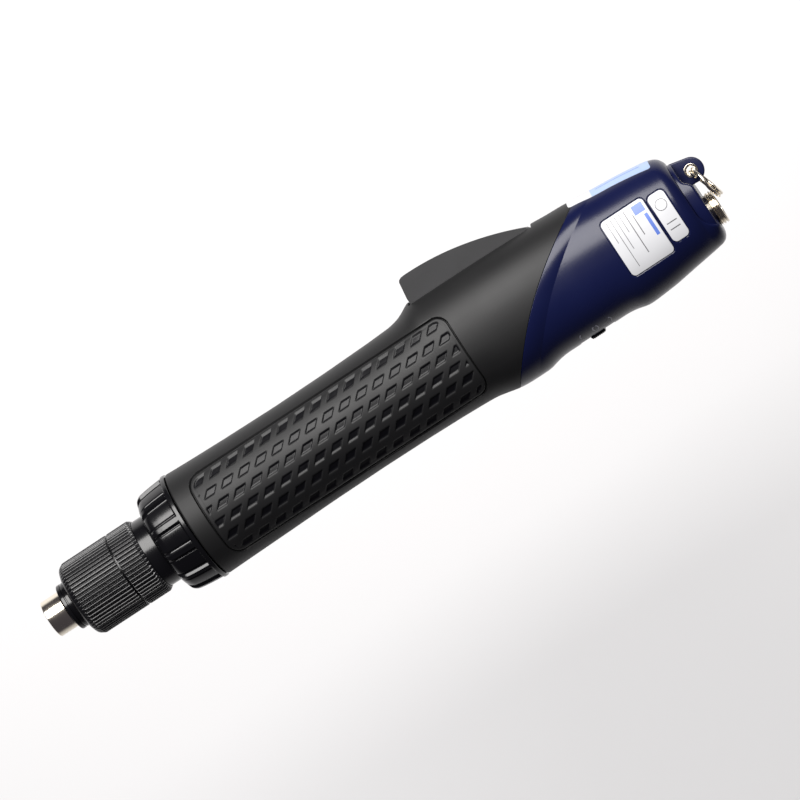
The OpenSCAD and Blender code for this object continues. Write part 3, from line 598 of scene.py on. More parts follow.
v, f = lathe(rounded([[7.2, 6.4, 0.1], [7.2, 8.3, 0.45], [8.55, 8.3, 0.08], [8.7, 7.95, 0.08], [9.05, 7.95, 0.08],
                      [9.2, 8.3, 0.08], [36.7, 8.3, 0], [36.7, 12.25, 0.4], [47.35, 12.25, 0], [47.35, 16.3, 0.3],
                      [50.5, 16.3, 0.2], [50.5, 10.9, 0.2], [38.3, 10.9, 0], [38.3, 6.4, 0]], 0.1), 192)
nose = new_object("nose_and_neck", v, f, [M["black_gloss"]], None)
cuts = []
for a in (0, 120, 240):
    c, s = math.cos(a * RAD), math.sin(a * RAD)
    bv, bf = block([16.8, 5, -1.6], [23.4, 9.4, 1.6])
    bv = np.column_stack([bv[:, 0], bv[:, 1] * c - bv[:, 2] * s, bv[:, 1] * s + bv[:, 2] * c])
    cuts.append((bv, bf))
boolean(nose, cuts)
finish_piece(nose, "root", ["clutch_housing"])

R_RING, FLUTES = 13.45, 58


def flute_shape(x, r, phi):
    u = phi * FLUTES / (2 * math.pi)
    s = np.abs(u - np.round(u))            # 0 on a land, 0.5 in a valley
    land = R_RING - 0.62 * sstep((s - 0.12) / 0.34) - 0.10 * (s / 0.5) ** 2
    k = 0.10
    m = np.minimum(r, land)
    near = np.clip(k - np.abs(r - land), 0, k)
    return np.where(r > 12.2, m - near * near / (4 * k), r)


ring_phi = np.arange(FLUTES * 12) * 2 * math.pi / (FLUTES * 12)
p = rounded([[10.5, 8.42, 0.1], [10.5, 10.2, 0.9], [11.3, 12.35, 1.6], [13.2, 13.45, 1.3], [30, 13.45, 0.22], [30, 11.8, 0],
             [33.2, 11.8, 0.1], [33.2, 10.5, 0.1], [17, 10.5, 0], [17, 8.42, 0]], 0.1, seg=7)
long = []
for a, b in zip(p, np.roll(p, -1, 0)):
    long.append(a)
    if abs(b[0] - a[0]) > 3 and a[1] > 13:
        long += [a + (b - a) * q for q in (0.05, 0.5, 0.95)]
v, f = lathe(np.array(long), ring_phi, shape=flute_shape)
new_object("torque_setting_ring", v, f, [M["black_satin"]], "torque_setting_ring", ["torque_ring"], sharp=60)
p = rounded([[30.7, 11.85, 0.1], [30.7, 13.45, 0.22], [38.3, 13.45, 0.5], [39.6, 12.6, 0.25], [39.6, 12.33, 0.1],
             [33.5, 12.33, 0], [33.5, 11.85, 0]], 0.1, seg=6)
v, f = lathe(p, ring_phi, shape=flute_shape)
new_object("setting_lock_ring", v, f, [M["black_satin"]], "setting_lock_ring", ["lock_ring"], sharp=60)

# ribbed coupling nut: twelve raised ribs with a hollow beside each, plain rim at the rear
NUT = [[44.4, 15.2], [44.7, 16.2], [45.3, 17.05], [46.2, 17.9], [47.2, 18.42], [50, 18.88], [53, 19.2], [56.6, 19.5], [57.3, 19.35]]
outer = smoothed(NUT, 0.45, None, 0.05)
xs_nut = np.concatenate([np.linspace(44.4, 47.4, 20), np.linspace(47.6, 55.4, 20), np.linspace(55.5, 57.3, 14)])
ro = np.interp(xs_nut, outer[0], outer[1])
ro[0], ro[-1] = 15.0, 19.2
prof = [[44.4, 12.38]] + [[44.4, 14.2]] + [[a, b] for a, b in zip(xs_nut, ro)] + [[57.3, 16.8], [47.3, 16.8], [47.3, 12.38]]


def nut_shape(x, r, phi):
    u = (phi / (2 * math.pi) * 12 - 0.5)
    s = (u - np.round(u)) * 30.0 * RAD * 19.0          # mm along the rim from the rib's middle
    rib = sstep((1.30 - np.abs(s)) / 0.50)
    crown = 0.10 * (1 - np.clip(s / 1.4, -1, 1) ** 2)
    hollow = 0.28 * np.exp(-((np.abs(s) - 1.72) / 0.40) ** 2)
    front = sstep((x - 44.55) / 1.1)
    rim = sstep((x - 55.55) / 0.45)
    low = 0.72 + hollow * 1.0
    drop = low * (1 - rib) - crown * rib * 0.0
    drop = drop * (1 - rim) * 1.0
    drop = np.where(x < 45.6, 0.72 * (1 - rib * front) + hollow * (1 - rib) * front, drop)
    return np.where((r > 13.5) & (x > 44.39), r - drop, r)


fine_phi = []
for k in range(12):
    c = (k + 0.5) * 30 * RAD
    loc = np.concatenate([np.linspace(-15, -8, 5)[:-1], np.linspace(-8, -3.2, 12)[:-1], np.linspace(-3.2, 3.2, 8)[:-1],
                          np.linspace(3.2, 8, 12)[:-1], np.linspace(8, 15, 5)[:-1]])
    fine_phi += list(c + loc * RAD)
v, f = lathe(np.array(prof), np.array(fine_phi), shape=nut_shape)
new_object("coupling_nut_ribbed", v, f, [M["black_gloss"]], "root", ["coupling_nut"], sharp=50)

# ------------------------------------------------------------------ grip halves
PX0, PX1, PY0, PY1, PR = 64.05, 163.8, -15.45, 13.9, 4.3


def pad_sd(x, y):
    """Distance from the pad's outline in side view, negative inside."""
    cx, cy = (PX0 + PX1) / 2, (PY0 + PY1) / 2
    qx = np.abs(x - cx) - (PX1 - PX0) / 2 + PR
    qy = np.abs(y - cy) - (PY1 - PY0) / 2 + PR
    return np.hypot(np.maximum(qx, 0), np.maximum(qy, 0)) + np.minimum(np.maximum(qx, qy), 0) - PR


def lines_between(stops):
    """Concatenate evenly spaced stretches: (start, end, count)."""
    out = [np.linspace(a, b, n, endpoint=False) for a, b, n in stops]
    return np.concatenate(out + [[stops[-1][1]]])


def grip_half(side):
    cols = lines_between([(57.6, 58.6, 7), (58.6, 63.3, 8), (63.3, 69.0, 34), (69.0, 140.0, 60), (140.0, 155.2, 26),
                          (155.2, 155.5, 2), (155.5, 156.2, 5), (156.2, 158.6, 4), (158.6, 164.8, 38), (164.8, 166.0, 3)])
    frac = lines_between([(0, 0.30, 12), (0.30, 0.655, 14), (0.655, 0.67, 4), (0.67, 0.685, 4), (0.685, 0.965, 14),
                          (0.965, 1.0, 8)])[1:]
    # rows, from the bottom of the moulding to the top, by angle at each x
    u_low = np.linspace(0, 1, 13)[:-1]
    fine_low = np.linspace(0, 1, 33)[:-1]
    u_mid = np.linspace(0, 1, 9)[:-1]
    fine_top = np.linspace(0, 1, 33)[:-1]
    u_up = np.linspace(0, 1, 15)[:-1]
    u_edge = np.array([0, 0.45, 0.72, 0.88])
    u_cap = np.linspace(0, 1, 15)

    def rows_at(x):
        a0 = np.full_like(x, -90.0)
        a1, a2 = t_of_y(x, PY0 - 0.8), t_of_y(x, PY0 + 5.0)
        b1, b2 = t_of_y(x, PY1 - 5.0), t_of_y(x, PY1 + 0.8)
        s = t_of_z(x, 6.8)
        s0 = t_of_z(x, 7.7)
        e = np.full_like(x, 90.0)
        parts = []
        for u, p, q in ((u_low, a0, a1), (fine_low, a1, a2), (u_mid, a2, b1), (fine_top, b1, b2), (u_up, b2, s0),
                        (u_edge, s0, s), (u_cap, s, e)):
            parts.append(p[:, None] + (q - p)[:, None] * u[None, :])
        return np.concatenate(parts, 1)

    row_slot = len(u_low) + len(fine_low) + len(u_mid) + len(fine_top) + len(u_up) + len(u_edge)
    tt = rows_at(cols)
    t_ref = tt[-1]
    # behind x = 166 the lines lean so that the last one is the seam
    T = np.repeat(t_ref[None, :], len(frac), 0)
    sx = seam_at(t_ref) - 0.05
    exact = (202.4 - 166.0) / (sx - 166.0)
    f0 = np.clip(exact, 0.0, 0.72)
    base = 0.67
    fr = frac[:, None]
    ff = np.where(fr <= base, fr / base * f0[None, :], f0[None, :] + (fr - base) / (1 - base) * (1 - f0[None, :]))
    X2 = 166.0 + ff * (sx[None, :] - 166.0)
    X = np.concatenate([np.repeat(cols[:, None], tt.shape[1], 1), X2])
    # keep the slot's edge line straight behind x = 166 as well
    T2 = T.copy()
    for _ in range(3):
        s_here = t_of_z(X2, 6.8)
        s_ref = t_ref[row_slot]
        up = T >= s_ref
        T2 = np.where(up, 90 - (90 - T) * (90 - s_here) / (90 - s_ref), T * 1.0)
        span = (T > 45) & ~up
        T2 = np.where(span, 45 + (T - 45) * (s_here - 45) / (s_ref - 45), T2)
    TT = np.concatenate([tt, T2])
    y0 = skin(X, TT, 0, False)[..., 1]
    sd = pad_sd(X, y0)
    D = 1.0 * sstep((0.34 - sd) / 0.24)
    D = np.where(X > 166.5, 0, D)
    D = np.maximum(D, fillet_drop(X - 57.6, 0.7))
    D = np.maximum(D, fillet_drop(np.abs(TT - 90) * 0.33, 0.16) * 0.9)
    D = np.maximum(D, fillet_drop(np.abs(TT + 90) * 0.33, 0.16) * 0.9)
    D = np.maximum(D, fillet_drop(seam_at(TT) - 0.05 - X, 0.22) * 0.8)
    P = skin(X, TT, 0, False)
    slot_d = np.hypot(np.maximum(np.maximum(155.5 - P[..., 0], P[..., 0] - 202.4), 0), np.maximum(P[..., 2] - 6.8, 0))
    slot_d = np.where(P[..., 1] > 10, slot_d, 99)
    D = np.maximum(D, fillet_drop(slot_d, 0.55))
    outer_g = skin(X, TT, D, False)
    outer_g[:, 0, 2] = 0.02
    outer_g[:, -1, 2] = 0.02
    inner_g = skin(X, TT, 2.3, False)
    inner_g[:, 0, 2] = 0.02
    inner_g[:, -1, 2] = 0.02
    i0 = int(np.argmin(np.abs(cols - 155.5)))
    i1 = len(cols) + int(np.argmin(np.abs(frac - base)))
    keep = np.ones((X.shape[0] - 1, X.shape[1] - 1), bool)
    keep[i0:i1, row_slot:] = False
    v, f, mt = sheets(outer_g, inner_g, keep)
    parts = [(v, f, mt)]
    # spigot under the nut, screw posts and pin post
    ang = np.linspace(-90, 90, 49)
    for prof in ([[50.7, 14], [50.7, 16.5], [57.5, 16.5], [57.5, 14]], [[57.75, 14], [57.75, 18.6], [60, 18.5], [60, 14]]):
        rows = np.array([[[q[0], q[1] * math.sin(a * RAD), max(q[1] * math.cos(a * RAD), 0.02)] for q in prof] for a in ang])
        k, m = rows.shape[:2]
        ff2 = [[i * m + j, i * m + (j + 1) % m, (i + 1) * m + (j + 1) % m, (i + 1) * m + j] for i in range(k - 1) for j in range(m)]
        ff2 += [list(range(m))[::-1], [(k - 1) * m + j for j in range(m)]]
        parts.append((rows.reshape(-1, 3), ff2))
    for qx, qy in ((130, 10), (130, -10), (148, -11)):
        o, h = lathe(rounded([[0.4, 1.45], [0.4, 2.7], [11.0, 2.7], [11.0, 1.45]], 0.15), 32, (qx, qy), axis="z")
        parts.append((o, h))
    o, h = lathe(rounded([[7.05, 1.3], [7.05, 2.8], [10.4, 2.8], [10.4, 1.3]], 0.15), 32, (198.5, 16.3), axis="z")
    parts.append((o, h))
    v, f, mt = join(parts)
    if side < 0:
        v = v * [1, 1, -1]
    name = "grip_half_left" if side > 0 else "grip_half_right"
    node = "grip_shell_left" if side > 0 else "grip_shell_right"
    return new_object(name, v, f, [M["soft_grip"]], "root", [node], mi=mt, sharp=40)


# ------------------------------------------------------------------ grip pads: bands between rows of slanting pits
P_ROW, P_COL, LEAN, P_TOP, P_C0 = 5.02, 6.51, 0.943, 12.7, 69.95
PIT_H, PIT_W, PIT_D = 2.62, 1.92, 0.52


def pit_depth(x, y):
    u = (x - LEAN * y - P_C0) / P_COL
    du = np.abs(u - np.round(u)) * P_COL
    across = sstep((PIT_W + 0.16 - du) / 0.32)
    q = ((P_TOP - y) / P_ROW - np.floor((P_TOP - y) / P_ROW)) * P_ROW
    down = sstep((q + 0.02) / 0.30) * sstep((PIT_H + 0.25 - q) / 0.75) * (1 - 0.10 * np.clip(q / PIT_H, 0, 1))
    field = sstep((-pad_sd(x, y) - 1.25) / 0.30)
    return across * down * field


def grip_pad(side):
    dy = P_ROW / 16
    dx = P_COL / 22
    gap = 0.16
    y1, y0 = PY1 - gap, PY0 + gap
    ys = P_TOP - dy * np.arange(-4, 92)
    ys = ys[(ys < y1 - 0.12) & (ys > y0 + 0.12)]
    ys = np.concatenate([[y1, y1 - 0.06], ys, [y0 + 0.06, y0]])
    cs = PX0 + gap + dx * np.arange(0, int((PX1 - PX0 - 2 * gap) / dx) + 1)
    cs = np.concatenate([[PX0 + gap, PX0 + gap + 0.06, PX0 + gap + 0.18], cs[1:-1], [PX1 - gap - 0.18, PX1 - gap - 0.06, PX1 - gap]])
    C, Y = np.meshgrid(cs, ys, indexing="ij")
    r = PR - gap
    yc0, yc1 = PY0 + PR, PY1 - PR
    dyc = np.maximum(np.maximum(Y - yc1, yc0 - Y), 0)
    ins = r - np.sqrt(np.maximum(r * r - dyc * dyc, 0))
    zone = 9.0
    left, right = PX0 + gap, PX1 - gap
    wl = np.clip(1 - (C - left) / zone, 0, 1)
    wr = np.clip(1 - (right - C) / zone, 0, 1)
    X = C + ins * wl - ins * wr
    t = t_of_y(X, Y)
    sd = pad_sd(X, Y) + gap
    pd = pit_depth(X, Y)
    rim_line = 0.10 * np.exp(-((-pad_sd(X, Y) - 1.30) / 0.16) ** 2)
    D = PIT_D * pd + fillet_drop(-sd, 0.42) * 0.9 + rim_line * (1 - pd)
    outer_g = skin(X, t, D, False)
    inner_g = skin(X, t, 0.94, False)
    cell = (pd[:-1, :-1] + pd[1:, :-1] + pd[:-1, 1:] + pd[1:, 1:]) / 4
    # cells on the pit floors take the darker material, which is painted shade in the recesses
    mi = (cell > 0.35).astype(int)
    v, f, mt = sheets(outer_g, inner_g, None, mi=mi)
    # split the quads along the lean of the bands
    k = len(cs) - 1
    nq = k * (len(ys) - 1)
    tri, tm = [], []
    f = np.asarray(f)
    a = f[:nq]
    tri = np.concatenate([a[:, [0, 1, 3]], a[:, [1, 2, 3]]])
    # cell corners: 0=(i,j) 1=(i,j+1) 2=(i+1,j+1) 3=(i+1,j); rows run downwards, so the lean joins 3 and 1
    faces = tri.tolist() + f[nq:].tolist()
    mats = np.concatenate([mt[:nq], mt[:nq], mt[nq:]])
    if side < 0:
        v = v * [1, 1, -1]
    name = "grip_pad_textured_left" if side > 0 else "grip_pad_textured_right"
    node = "grip_pad_left" if side > 0 else "grip_pad_right"
    return new_object(name, v, faces, [M["grip_pad"], M["pit"]], "root", [node], mi=mats, sharp=70)


grip_half(1)
grip_half(-1)
grip_pad(1)
grip_pad(-1)

# ------------------------------------------------------------------ rear housing
LABELS = [(222.0, 238.1, -10.75, 9.95, 1.5, 0.16), (239.0, 245.2, -8.8, 8.7, 1.7, 0.12)]   # x0, x1, y0, y1, corner, pocket


def rect_sd(x, y, x0, x1, y0, y1, r):
    qx = np.abs(x - (x0 + x1) / 2) - (x1 - x0) / 2 + r
    qy = np.abs(y - (y0 + y1) / 2) - (y1 - y0) / 2 + r
    return np.hypot(np.maximum(qx, 0), np.maximum(qy, 0)) + np.minimum(np.maximum(qx, qy), 0) - r


def tail_end(y):
    """x of the housing's rear edge by height: sides and top end early, the lip below runs on."""
    k = np.clip((-4.3 - y) / 7.6, 0, 0.985)
    return np.where(y > -4.3, 249.8, np.minimum(254.3, 256 - 6.2 * np.sqrt(1 - k * k)))


def tail_at(t):
    x = np.full(np.shape(t), 250.0)
    for _ in range(40):
        x = 0.5 * x + 0.5 * tail_end(skin(x, t)[..., 1])
    return x


def rear_housing():
    side_t = lines_between([(-81.5, -66, 16), (-66, -34, 34), (-34, -27.0, 22), (-27.0, 22, 40), (22, 30.5, 26), (30.5, 60, 30),
                            (60, 90, 22)])
    low_t = lines_between([(-90, -82.6, 6), (-82.6, -81.5, 4)])[:-1]
    half = np.concatenate([low_t, side_t])           # -90 .. 90
    full = np.concatenate([half, 180 - half[::-1][1:-1]])
    t0 = full
    sx = seam_at(t0) + 0.05
    crease = sx + 7.45
    a = lines_between([(0, 0.05, 6), (0.05, 0.9, 18), (0.9, 1.0, 5)])
    X1 = sx[None, :] + a[:, None] * (crease - sx)[None, :]
    c2 = np.maximum(221.4, crease + 0.9)
    fa = np.clip((195.4 - crease) / (c2 - crease), 0.28, 0.42)
    fb = np.clip((208.0 - crease) / (c2 - crease), 0.55, 0.72)
    b1 = lines_between([(0, 0.08, 5), (0.08, 0.94, 8), (0.94, 1.0, 3)])[1:]
    b2 = lines_between([(0, 0.05, 3), (0.05, 0.95, 16), (0.95, 1, 3)])[1:]
    b3 = lines_between([(0, 0.06, 3), (0.06, 1, 18)])[1:]
    X2 = crease[None] + b1[:, None] * fa[None] * (c2 - crease)[None]
    X3 = crease[None] + (fa[None] + b2[:, None] * (fb - fa)[None]) * (c2 - crease)[None]
    X4 = crease[None] + (fb[None] + b3[:, None] * (1 - fb)[None]) * (c2 - crease)[None]
    lab = (lines_between([(221.4, 224.2, 22), (224.2, 236.4, 14), (236.4, 241.2, 38), (241.2, 243.2, 6), (243.2, 246.2, 22),
                          (246.2, 247.2, 4)])[1:] - 221.4) / (247.2 - 221.4)
    X5 = c2[None] + lab[:, None] * (247.2 - c2)[None]
    end = tail_at(t0)
    e = lines_between([(0, 0.5, 10), (0.5, 0.9, 10), (0.9, 1.0, 5)])[1:]
    X6 = 247.2 + e[:, None] * (end - 247.2)[None]
    X = np.concatenate([X1, X2, X3, X4, X5, X6])
    T = np.repeat(t0[None, :], X.shape[0], 0)
    # straight edges for the slider slot
    zt = t_of_z(X, 3.1, 0.95)
    j_edge = int(np.argmin(np.abs(half + 82.6)))
    n_half = len(half)
    tt = T.copy()
    ref = 90 - 82.6
    here = 90 - zt
    fold = np.where(T > 90, 180 - T, T)              # both sides measured as on the left
    dist = fold + 90
    scaled = np.where(dist <= ref, dist * here / ref, here + (dist - ref) * (20 - here) / (20 - ref))
    scaled = np.where(dist < 20, scaled, dist)
    fold2 = scaled - 90
    tt = np.where(T > 90, 180 - fold2, fold2)
    P = skin(X, tt, 0)
    D = np.zeros(X.shape)
    for x0, x1, ya, yb, r, dep in LABELS:
        s = rect_sd(P[..., 0], P[..., 1], x0, x1, ya, yb, r)
        pocket = dep * sstep((0.42 - s) / 0.22) + 0.10 * np.exp(-((s - 0.18) / 0.14) ** 2)
        D = D + np.where(P[..., 2] > 0, pocket, 0)
    D = np.maximum(D, fillet_drop(X - sx[None], 0.22) * 0.8)
    D = np.maximum(D, fillet_drop((end[None] - X), 0.55) * 0.9)
    slot = np.hypot(np.maximum(np.maximum(195.4 - P[..., 0], P[..., 0] - 208.0), 0), np.maximum(np.abs(P[..., 2]) - 3.1, 0))
    slot = np.where(P[..., 1] < -12, slot, 99)
    D = np.maximum(D, fillet_drop(slot, 0.4))
    outer_g = skin(X, tt, D)
    inner_g = skin(X, tt, 2.3)
    keep = np.ones((X.shape[0] - 1, X.shape[1]), bool)
    i0 = X1.shape[0] + X2.shape[0] - 1
    i1 = i0 + X3.shape[0]
    J = X.shape[1]
    keep[i0:i1, 0:j_edge] = False
    keep[i0:i1, J - j_edge:] = False
    v, f, mt = sheets(outer_g, inner_g, keep, closed=True)
    parts = [(v, f, mt)]
    for s in (-1, 1):
        parts.append(lathe(rounded([[238, 1.15], [238, 2.5], [247.2, 2.5], [247.2, 1.15]], 0.15), 40, (0, 10.2 * s)))
    v, f, mt = join(parts)
    return new_object("rear_housing_blue", v, f, [M["blue_gloss"]], "root", ["rear_housing"], mi=mt, sharp=24)


rear_housing()

# small raised marks beside the slider
parts = []
for cx, kind in ((197.0, 0), (202.3, 1), (207.8, 0)):
    for bend in (-1, 1) if kind == 1 else ((-1,) if cx < 200 else (1,)):
        k = 15
        for q in (0,):
            yy = np.linspace(-16.9, -18.25, k)
            w = np.linspace(-1, 1, k)
            xx = cx + bend * (0.55 - 0.5 * w * w) + (0 if kind == 0 else bend * 0.45)
            rows_o, rows_i = [], []
            for off in (-0.16, -0.08, 0.0, 0.08, 0.16):
                t = t_of_y(xx, yy)
                hgt = 0.11 * (1 - (off / 0.2) ** 2)
                rows_o.append(skin(xx + off, t, -hgt))
                rows_i.append(skin(xx + off, t, 0.08))
            v, f, mt = sheets(np.array(rows_o), np.array(rows_i))
            parts.append((v, f, mt))
            parts.append((v * [1, 1, -1], f, mt))
v, f, mt = join(parts)
new_object("slider_position_marks", v, f, [M["mark"]], "root", ())

# ------------------------------------------------------------------ labels
def label(name, node, x0, x1, y0, y1, r, lift, under, slot, mats, paint=None, nx=60, ny=80):
    inset_edge = 0.10
    a0, a1 = x0 + inset_edge, x1 - inset_edge
    b0, b1 = y0 + inset_edge, y1 - inset_edge
    ys = np.linspace(b0, b1, ny)
    us = np.linspace(0, 1, nx)
    dyc = np.maximum(np.maximum(ys - (b1 - r), (b0 + r) - ys), 0)
    ins = r - np.sqrt(np.maximum(r * r - dyc * dyc, 0))
    X = (a0 + ins)[None, :] + us[:, None] * ((a1 - a0) - 2 * ins)[None, :]
    Y = np.repeat(ys[None, :], nx, 0)
    t = t_of_y(X, Y)
    s = rect_sd(X, Y, a0, a1, b0, b1, r)
    o = skin(X, t, -lift + fillet_drop(-s, 0.12) * 0.6)
    i = skin(X, t, under)
    mi = None
    if paint is not None:
        cx = (X[:-1, :-1] + X[1:, 1:]) / 2
        cy = (Y[:-1, :-1] + Y[1:, 1:]) / 2
        mi = paint(cx, cy)
    v, f, mt = sheets(o, i, None, mi=mi)
    return new_object(name, v, f, [M[k] for k in mats], "root", [node] if node else (), mi=mt, sharp=60)


def side_print(x, y):
    """Plain ruled lines and a colour block in the place of the maker's print."""
    m = np.zeros(x.shape, int)
    for k, (c, a, b) in enumerate([(224.0, 1.2, 8.9), (225.6, -8.6, 8.9), (227.2, -3.0, 8.9), (228.8, 2.4, 8.9), (230.6, -6.4, 8.9),
                                   (232.6, -1.0, 6.4)]):
        m = np.where((np.abs(x - c) < 0.13) & (y > a) & (y < b), 1, m)
    m = np.where((x > 233.3) & (x < 237.1) & (y > 5.6) & (y < 8.8), 2, m)
    m = np.where((x > 235.9) & (x < 237.0) & (y > -3.4) & (y < 4.6), 2, m)
    return m


label("side_label_plate", "side_label", *LABELS[0][:5], 0.05, 0.15, "label_white", ["label_white", "print_grey", "print_blue"],
      side_print, nx=150, ny=190)


def small_print(x, y):
    m = np.zeros(x.shape, int)
    m = np.where((np.abs(np.hypot(x - 242.1, y - 4.2) - 1.9) < 0.14), 1, m)
    m = np.where((np.abs(y + 2.2) < 0.14) & (np.abs(x - 242.1) < 1.9), 1, m)
    m = np.where((np.abs(y + 4.4) < 0.14) & (np.abs(x - 242.1) < 1.9), 1, m)
    return m


label("small_label_plate", "small_label", *LABELS[1][:5], 0.05, 0.11, "label_white", ["label_white", "print_grey"],
      small_print, nx=64, ny=190)


def top_label():
    xs = np.linspace(216.2, 245.6, 120)
    zs = np.linspace(-9.2, 9.2, 72)
    Z, X = np.meshgrid(zs, xs)
    r = 1.0
    dz = np.maximum(np.abs(Z) - (9.2 - r), 0)
    ins = r - np.sqrt(np.maximum(r * r - dz * dz, 0))
    X = 216.2 + ins + (X - 216.2) / 29.4 * (29.4 - 2 * ins)
    k = 1.0
    t = t_of_z(X, np.abs(Z))
    for _ in range(4):
        p = skin(X, t, 0)
        t = np.clip(t + (np.abs(p[..., 2]) - np.abs(Z)) * 2.6, 40, 90)
    s = rect_sd(X, Z, 216.2, 245.6, -9.2, 9.2, r)
    o = skin(X, t, -0.16 + fillet_drop(-s, 0.1) * 0.6)
    i = skin(X, t, 0.03)
    o[..., 2] = np.abs(o[..., 2]) * np.sign(Z)
    i[..., 2] = np.abs(i[..., 2]) * np.sign(Z)
    cx = (X[:-1, :-1] + X[1:, 1:]) / 2
    cz = (Z[:-1, :-1] + Z[1:, 1:]) / 2
    mi = np.where(cx > 224.7, 1, 0)
    mi = np.where((cx > 226.6) & (cx < 242.5) & (np.abs(np.abs(cz) - 5.6) < 0.35), 2, mi)
    v, f, mt = sheets(o, i, None, mi=mi)
    return new_object("top_label_strip", v, f, [M["label_white"], M["label_blue"], M["print_blue"]], "root", ["top_label"],
                      mi=mt, sharp=60)


top_label()

# ------------------------------------------------------------------ end cap with lug
def cap_rear(y):
    """x of the cap's rear face by height: inlet seat below, stepped in beside the lug."""
    tab = [[-30, 253.9], [3.2, 253.9], [3.9, 253.75], [4.5, 253.4], [5.1, 252.8], [5.7, 252.1], [6.5, 251.5], [7.6, 251.25],
           [12.9, 251.15], [13.4, 250.85], [13.8, 250.3]]
    return np.interp(y, [q[0] for q in tab], [q[1] for q in tab])


def end_cap():
    ys = np.concatenate([np.linspace(-14.6, -12.2, 8), np.linspace(-11.8, 3.0, 40), np.linspace(3.2, 8, 34),
                         np.linspace(8.3, 12.6, 14), np.linspace(12.8, 13.75, 14)])
    rows = []
    for y in ys:
        d = 1.0 if y > -12.0 else 2.45
        xr = float(cap_rear(y))
        h = float(at(T_TOP, 250.3) if y >= 0 else at(T_LOW, 252.0)) - d
        w = float(at(T_WID, 251.0)) - d
        n = float(at(T_SQ, 251.0))
        zs = 0.95 * w * max(0.0, 1 - min(1, abs(y) / h) ** n) ** (1 / n)
        zs = max(zs, 1.0)
        xf = 248.0 if y < -12.0 else float(tail_end(y)) + 0.12
        xf = min(xf, xr - 0.05)
        r = min(0.9, (xr - xf) * 0.8, zs * 0.5)
        prof = [[xf, zs]] + [[xf + (xr - r - xf) * q, zs] for q in (0.25, 0.5, 0.75, 1.0)]
        prof += [[xr - r + r * math.sin(a), zs - r + r * math.cos(a)] for a in np.linspace(0.2, math.pi / 2, 6)]
        half = prof
        mid = [[xr, (zs - r) * q] for q in (0.9, 0.7, 0.5, 0.3, 0.1)]
        pts = [[p[0], y, p[1]] for p in half] + [[p[0], y, p[1]] for p in mid] + \
              [[p[0], y, -p[1]] for p in mid[::-1]] + [[p[0], y, -p[1]] for p in half[::-1]]
        rows.append(pts)
    o = np.array(rows)
    i = o.copy()
    i[..., 0] = 247.6
    i[..., 2] = np.clip(i[..., 2], -10.0, 10.0) * 0.9
    v, f, mt = sheets(o, i)
    cap = new_object("end_cap_body", v, f, [M["blue_gloss"]], None)
    boolean(cap, [cylinder_x(240, 270, 5.53, -6.4, 0), cylinder_x(250.9, 270, 2.1, 0, 10.2), cylinder_x(250.9, 270, 2.1, 0, -10.2)])
    # lug plate
    arc = [[255.7 + 4.4 * math.cos(a), 8.2 + 4.4 * math.sin(a)] for a in np.linspace(-1.75, 1.42, 40)]
    outline = np.array([[249.0, 4.4], [253.4, 3.9]] + arc + [[250.9, 13.72], [249.0, 13.75]])
    outline = resample(outline, 0.35)
    lv, lf, _ = stack(outline, edge_levels(-1.5, 1.5, 0.5, 5))
    lug = new_object("lug_plate", lv, lf, [M["blue_gloss"]], None)
    boolean(lug, [cylinder_z(-5, 5, 1.96, 255.7, 8.2)])
    merge(cap, lug)
    cap.name = "end_cap_with_lug"
    finish_piece(cap, "root", ["end_cap"], sharp=30)


end_cap()

v, f = lathe(rounded([[-1.72, 1.48, 0.08], [-1.72, 2.3, 0.12], [-1.5, 2.3, 0.1], [-1.5, 1.93, 0], [1.5, 1.93, 0],
                      [1.5, 2.3, 0.1], [1.72, 2.3, 0.12], [1.72, 1.48, 0.25]], 0.05), 72, (255.7, 8.2), axis="z")
new_object("lug_eyelet_rolled", v, f, [M["nickel"]], "root", ["lug_eyelet"])

# split ring: one wire wound twice, crossing over beside its ends
e1 = np.array([math.cos(-72.3 * RAD), math.sin(-72.3 * RAD), 0.0])
ez = np.array([0, 0, 1.0])
nn = np.cross(e1, ez)
centre = np.array([255.7, 8.2, 0]) + 6.1 * e1
th = np.linspace(0.5 * math.pi + 0.62, 0.5 * math.pi + 4 * math.pi - 0.62, 260)
off = -0.565 + 1.13 * sstep((th - (2.5 * math.pi - 0.5)) / 1.0)
path = centre + 6.1 * (-np.cos(th)[:, None] * e1 + np.sin(th)[:, None] * ez) + off[:, None] * nn
v, f = sweep(path, 0.56, 20, start=nn)
new_object("split_hang_ring", v, f, [M["nickel"]], "hang_ring", ["split_ring"], sharp=50)

# ------------------------------------------------------------------ power inlet
def thread_shape(x, r, phi):
    u = (x - 254.9) / 1.0 - phi / (2 * math.pi)
    s = np.abs(u - np.round(u)) * 2            # 0 at a root, 1 at a crest
    cut = 0.60 * (1 - sstep((s - 0.08) / 0.72))
    live = (x > 254.92) & (x < 257.2) & (r > 5.2)
    fade = sstep((x - 254.9) / 0.3) * sstep((257.35 - x) / 0.45)
    return np.where(live, r - cut * fade, r)


prof = [[243.6, 4.62], [243.6, 5.48], [254.85, 5.48], [254.9, 5.5], [254.95, 5.85]] + [[x, 5.98] for x in np.linspace(255.02, 256.95, 44)] + \
       [[257.1, 5.93], [257.25, 5.82], [257.37, 5.66], [257.4, 5.5], [257.4, 4.8], [257.33, 4.68], [257.2, 4.62]]
v, f = lathe(np.array(prof), 144, (-6.4, 0), shape=thread_shape)
new_object("inlet_shell_threaded", v, f, [M["nickel"]], "root", ["inlet_shell"], sharp=40)

# ------------------------------------------------------------------ start lever
# the CAD lever is carried over, with a fine-grained finish
for q in N["lever"].material_slots:
    q.material = M["lever_grain"]

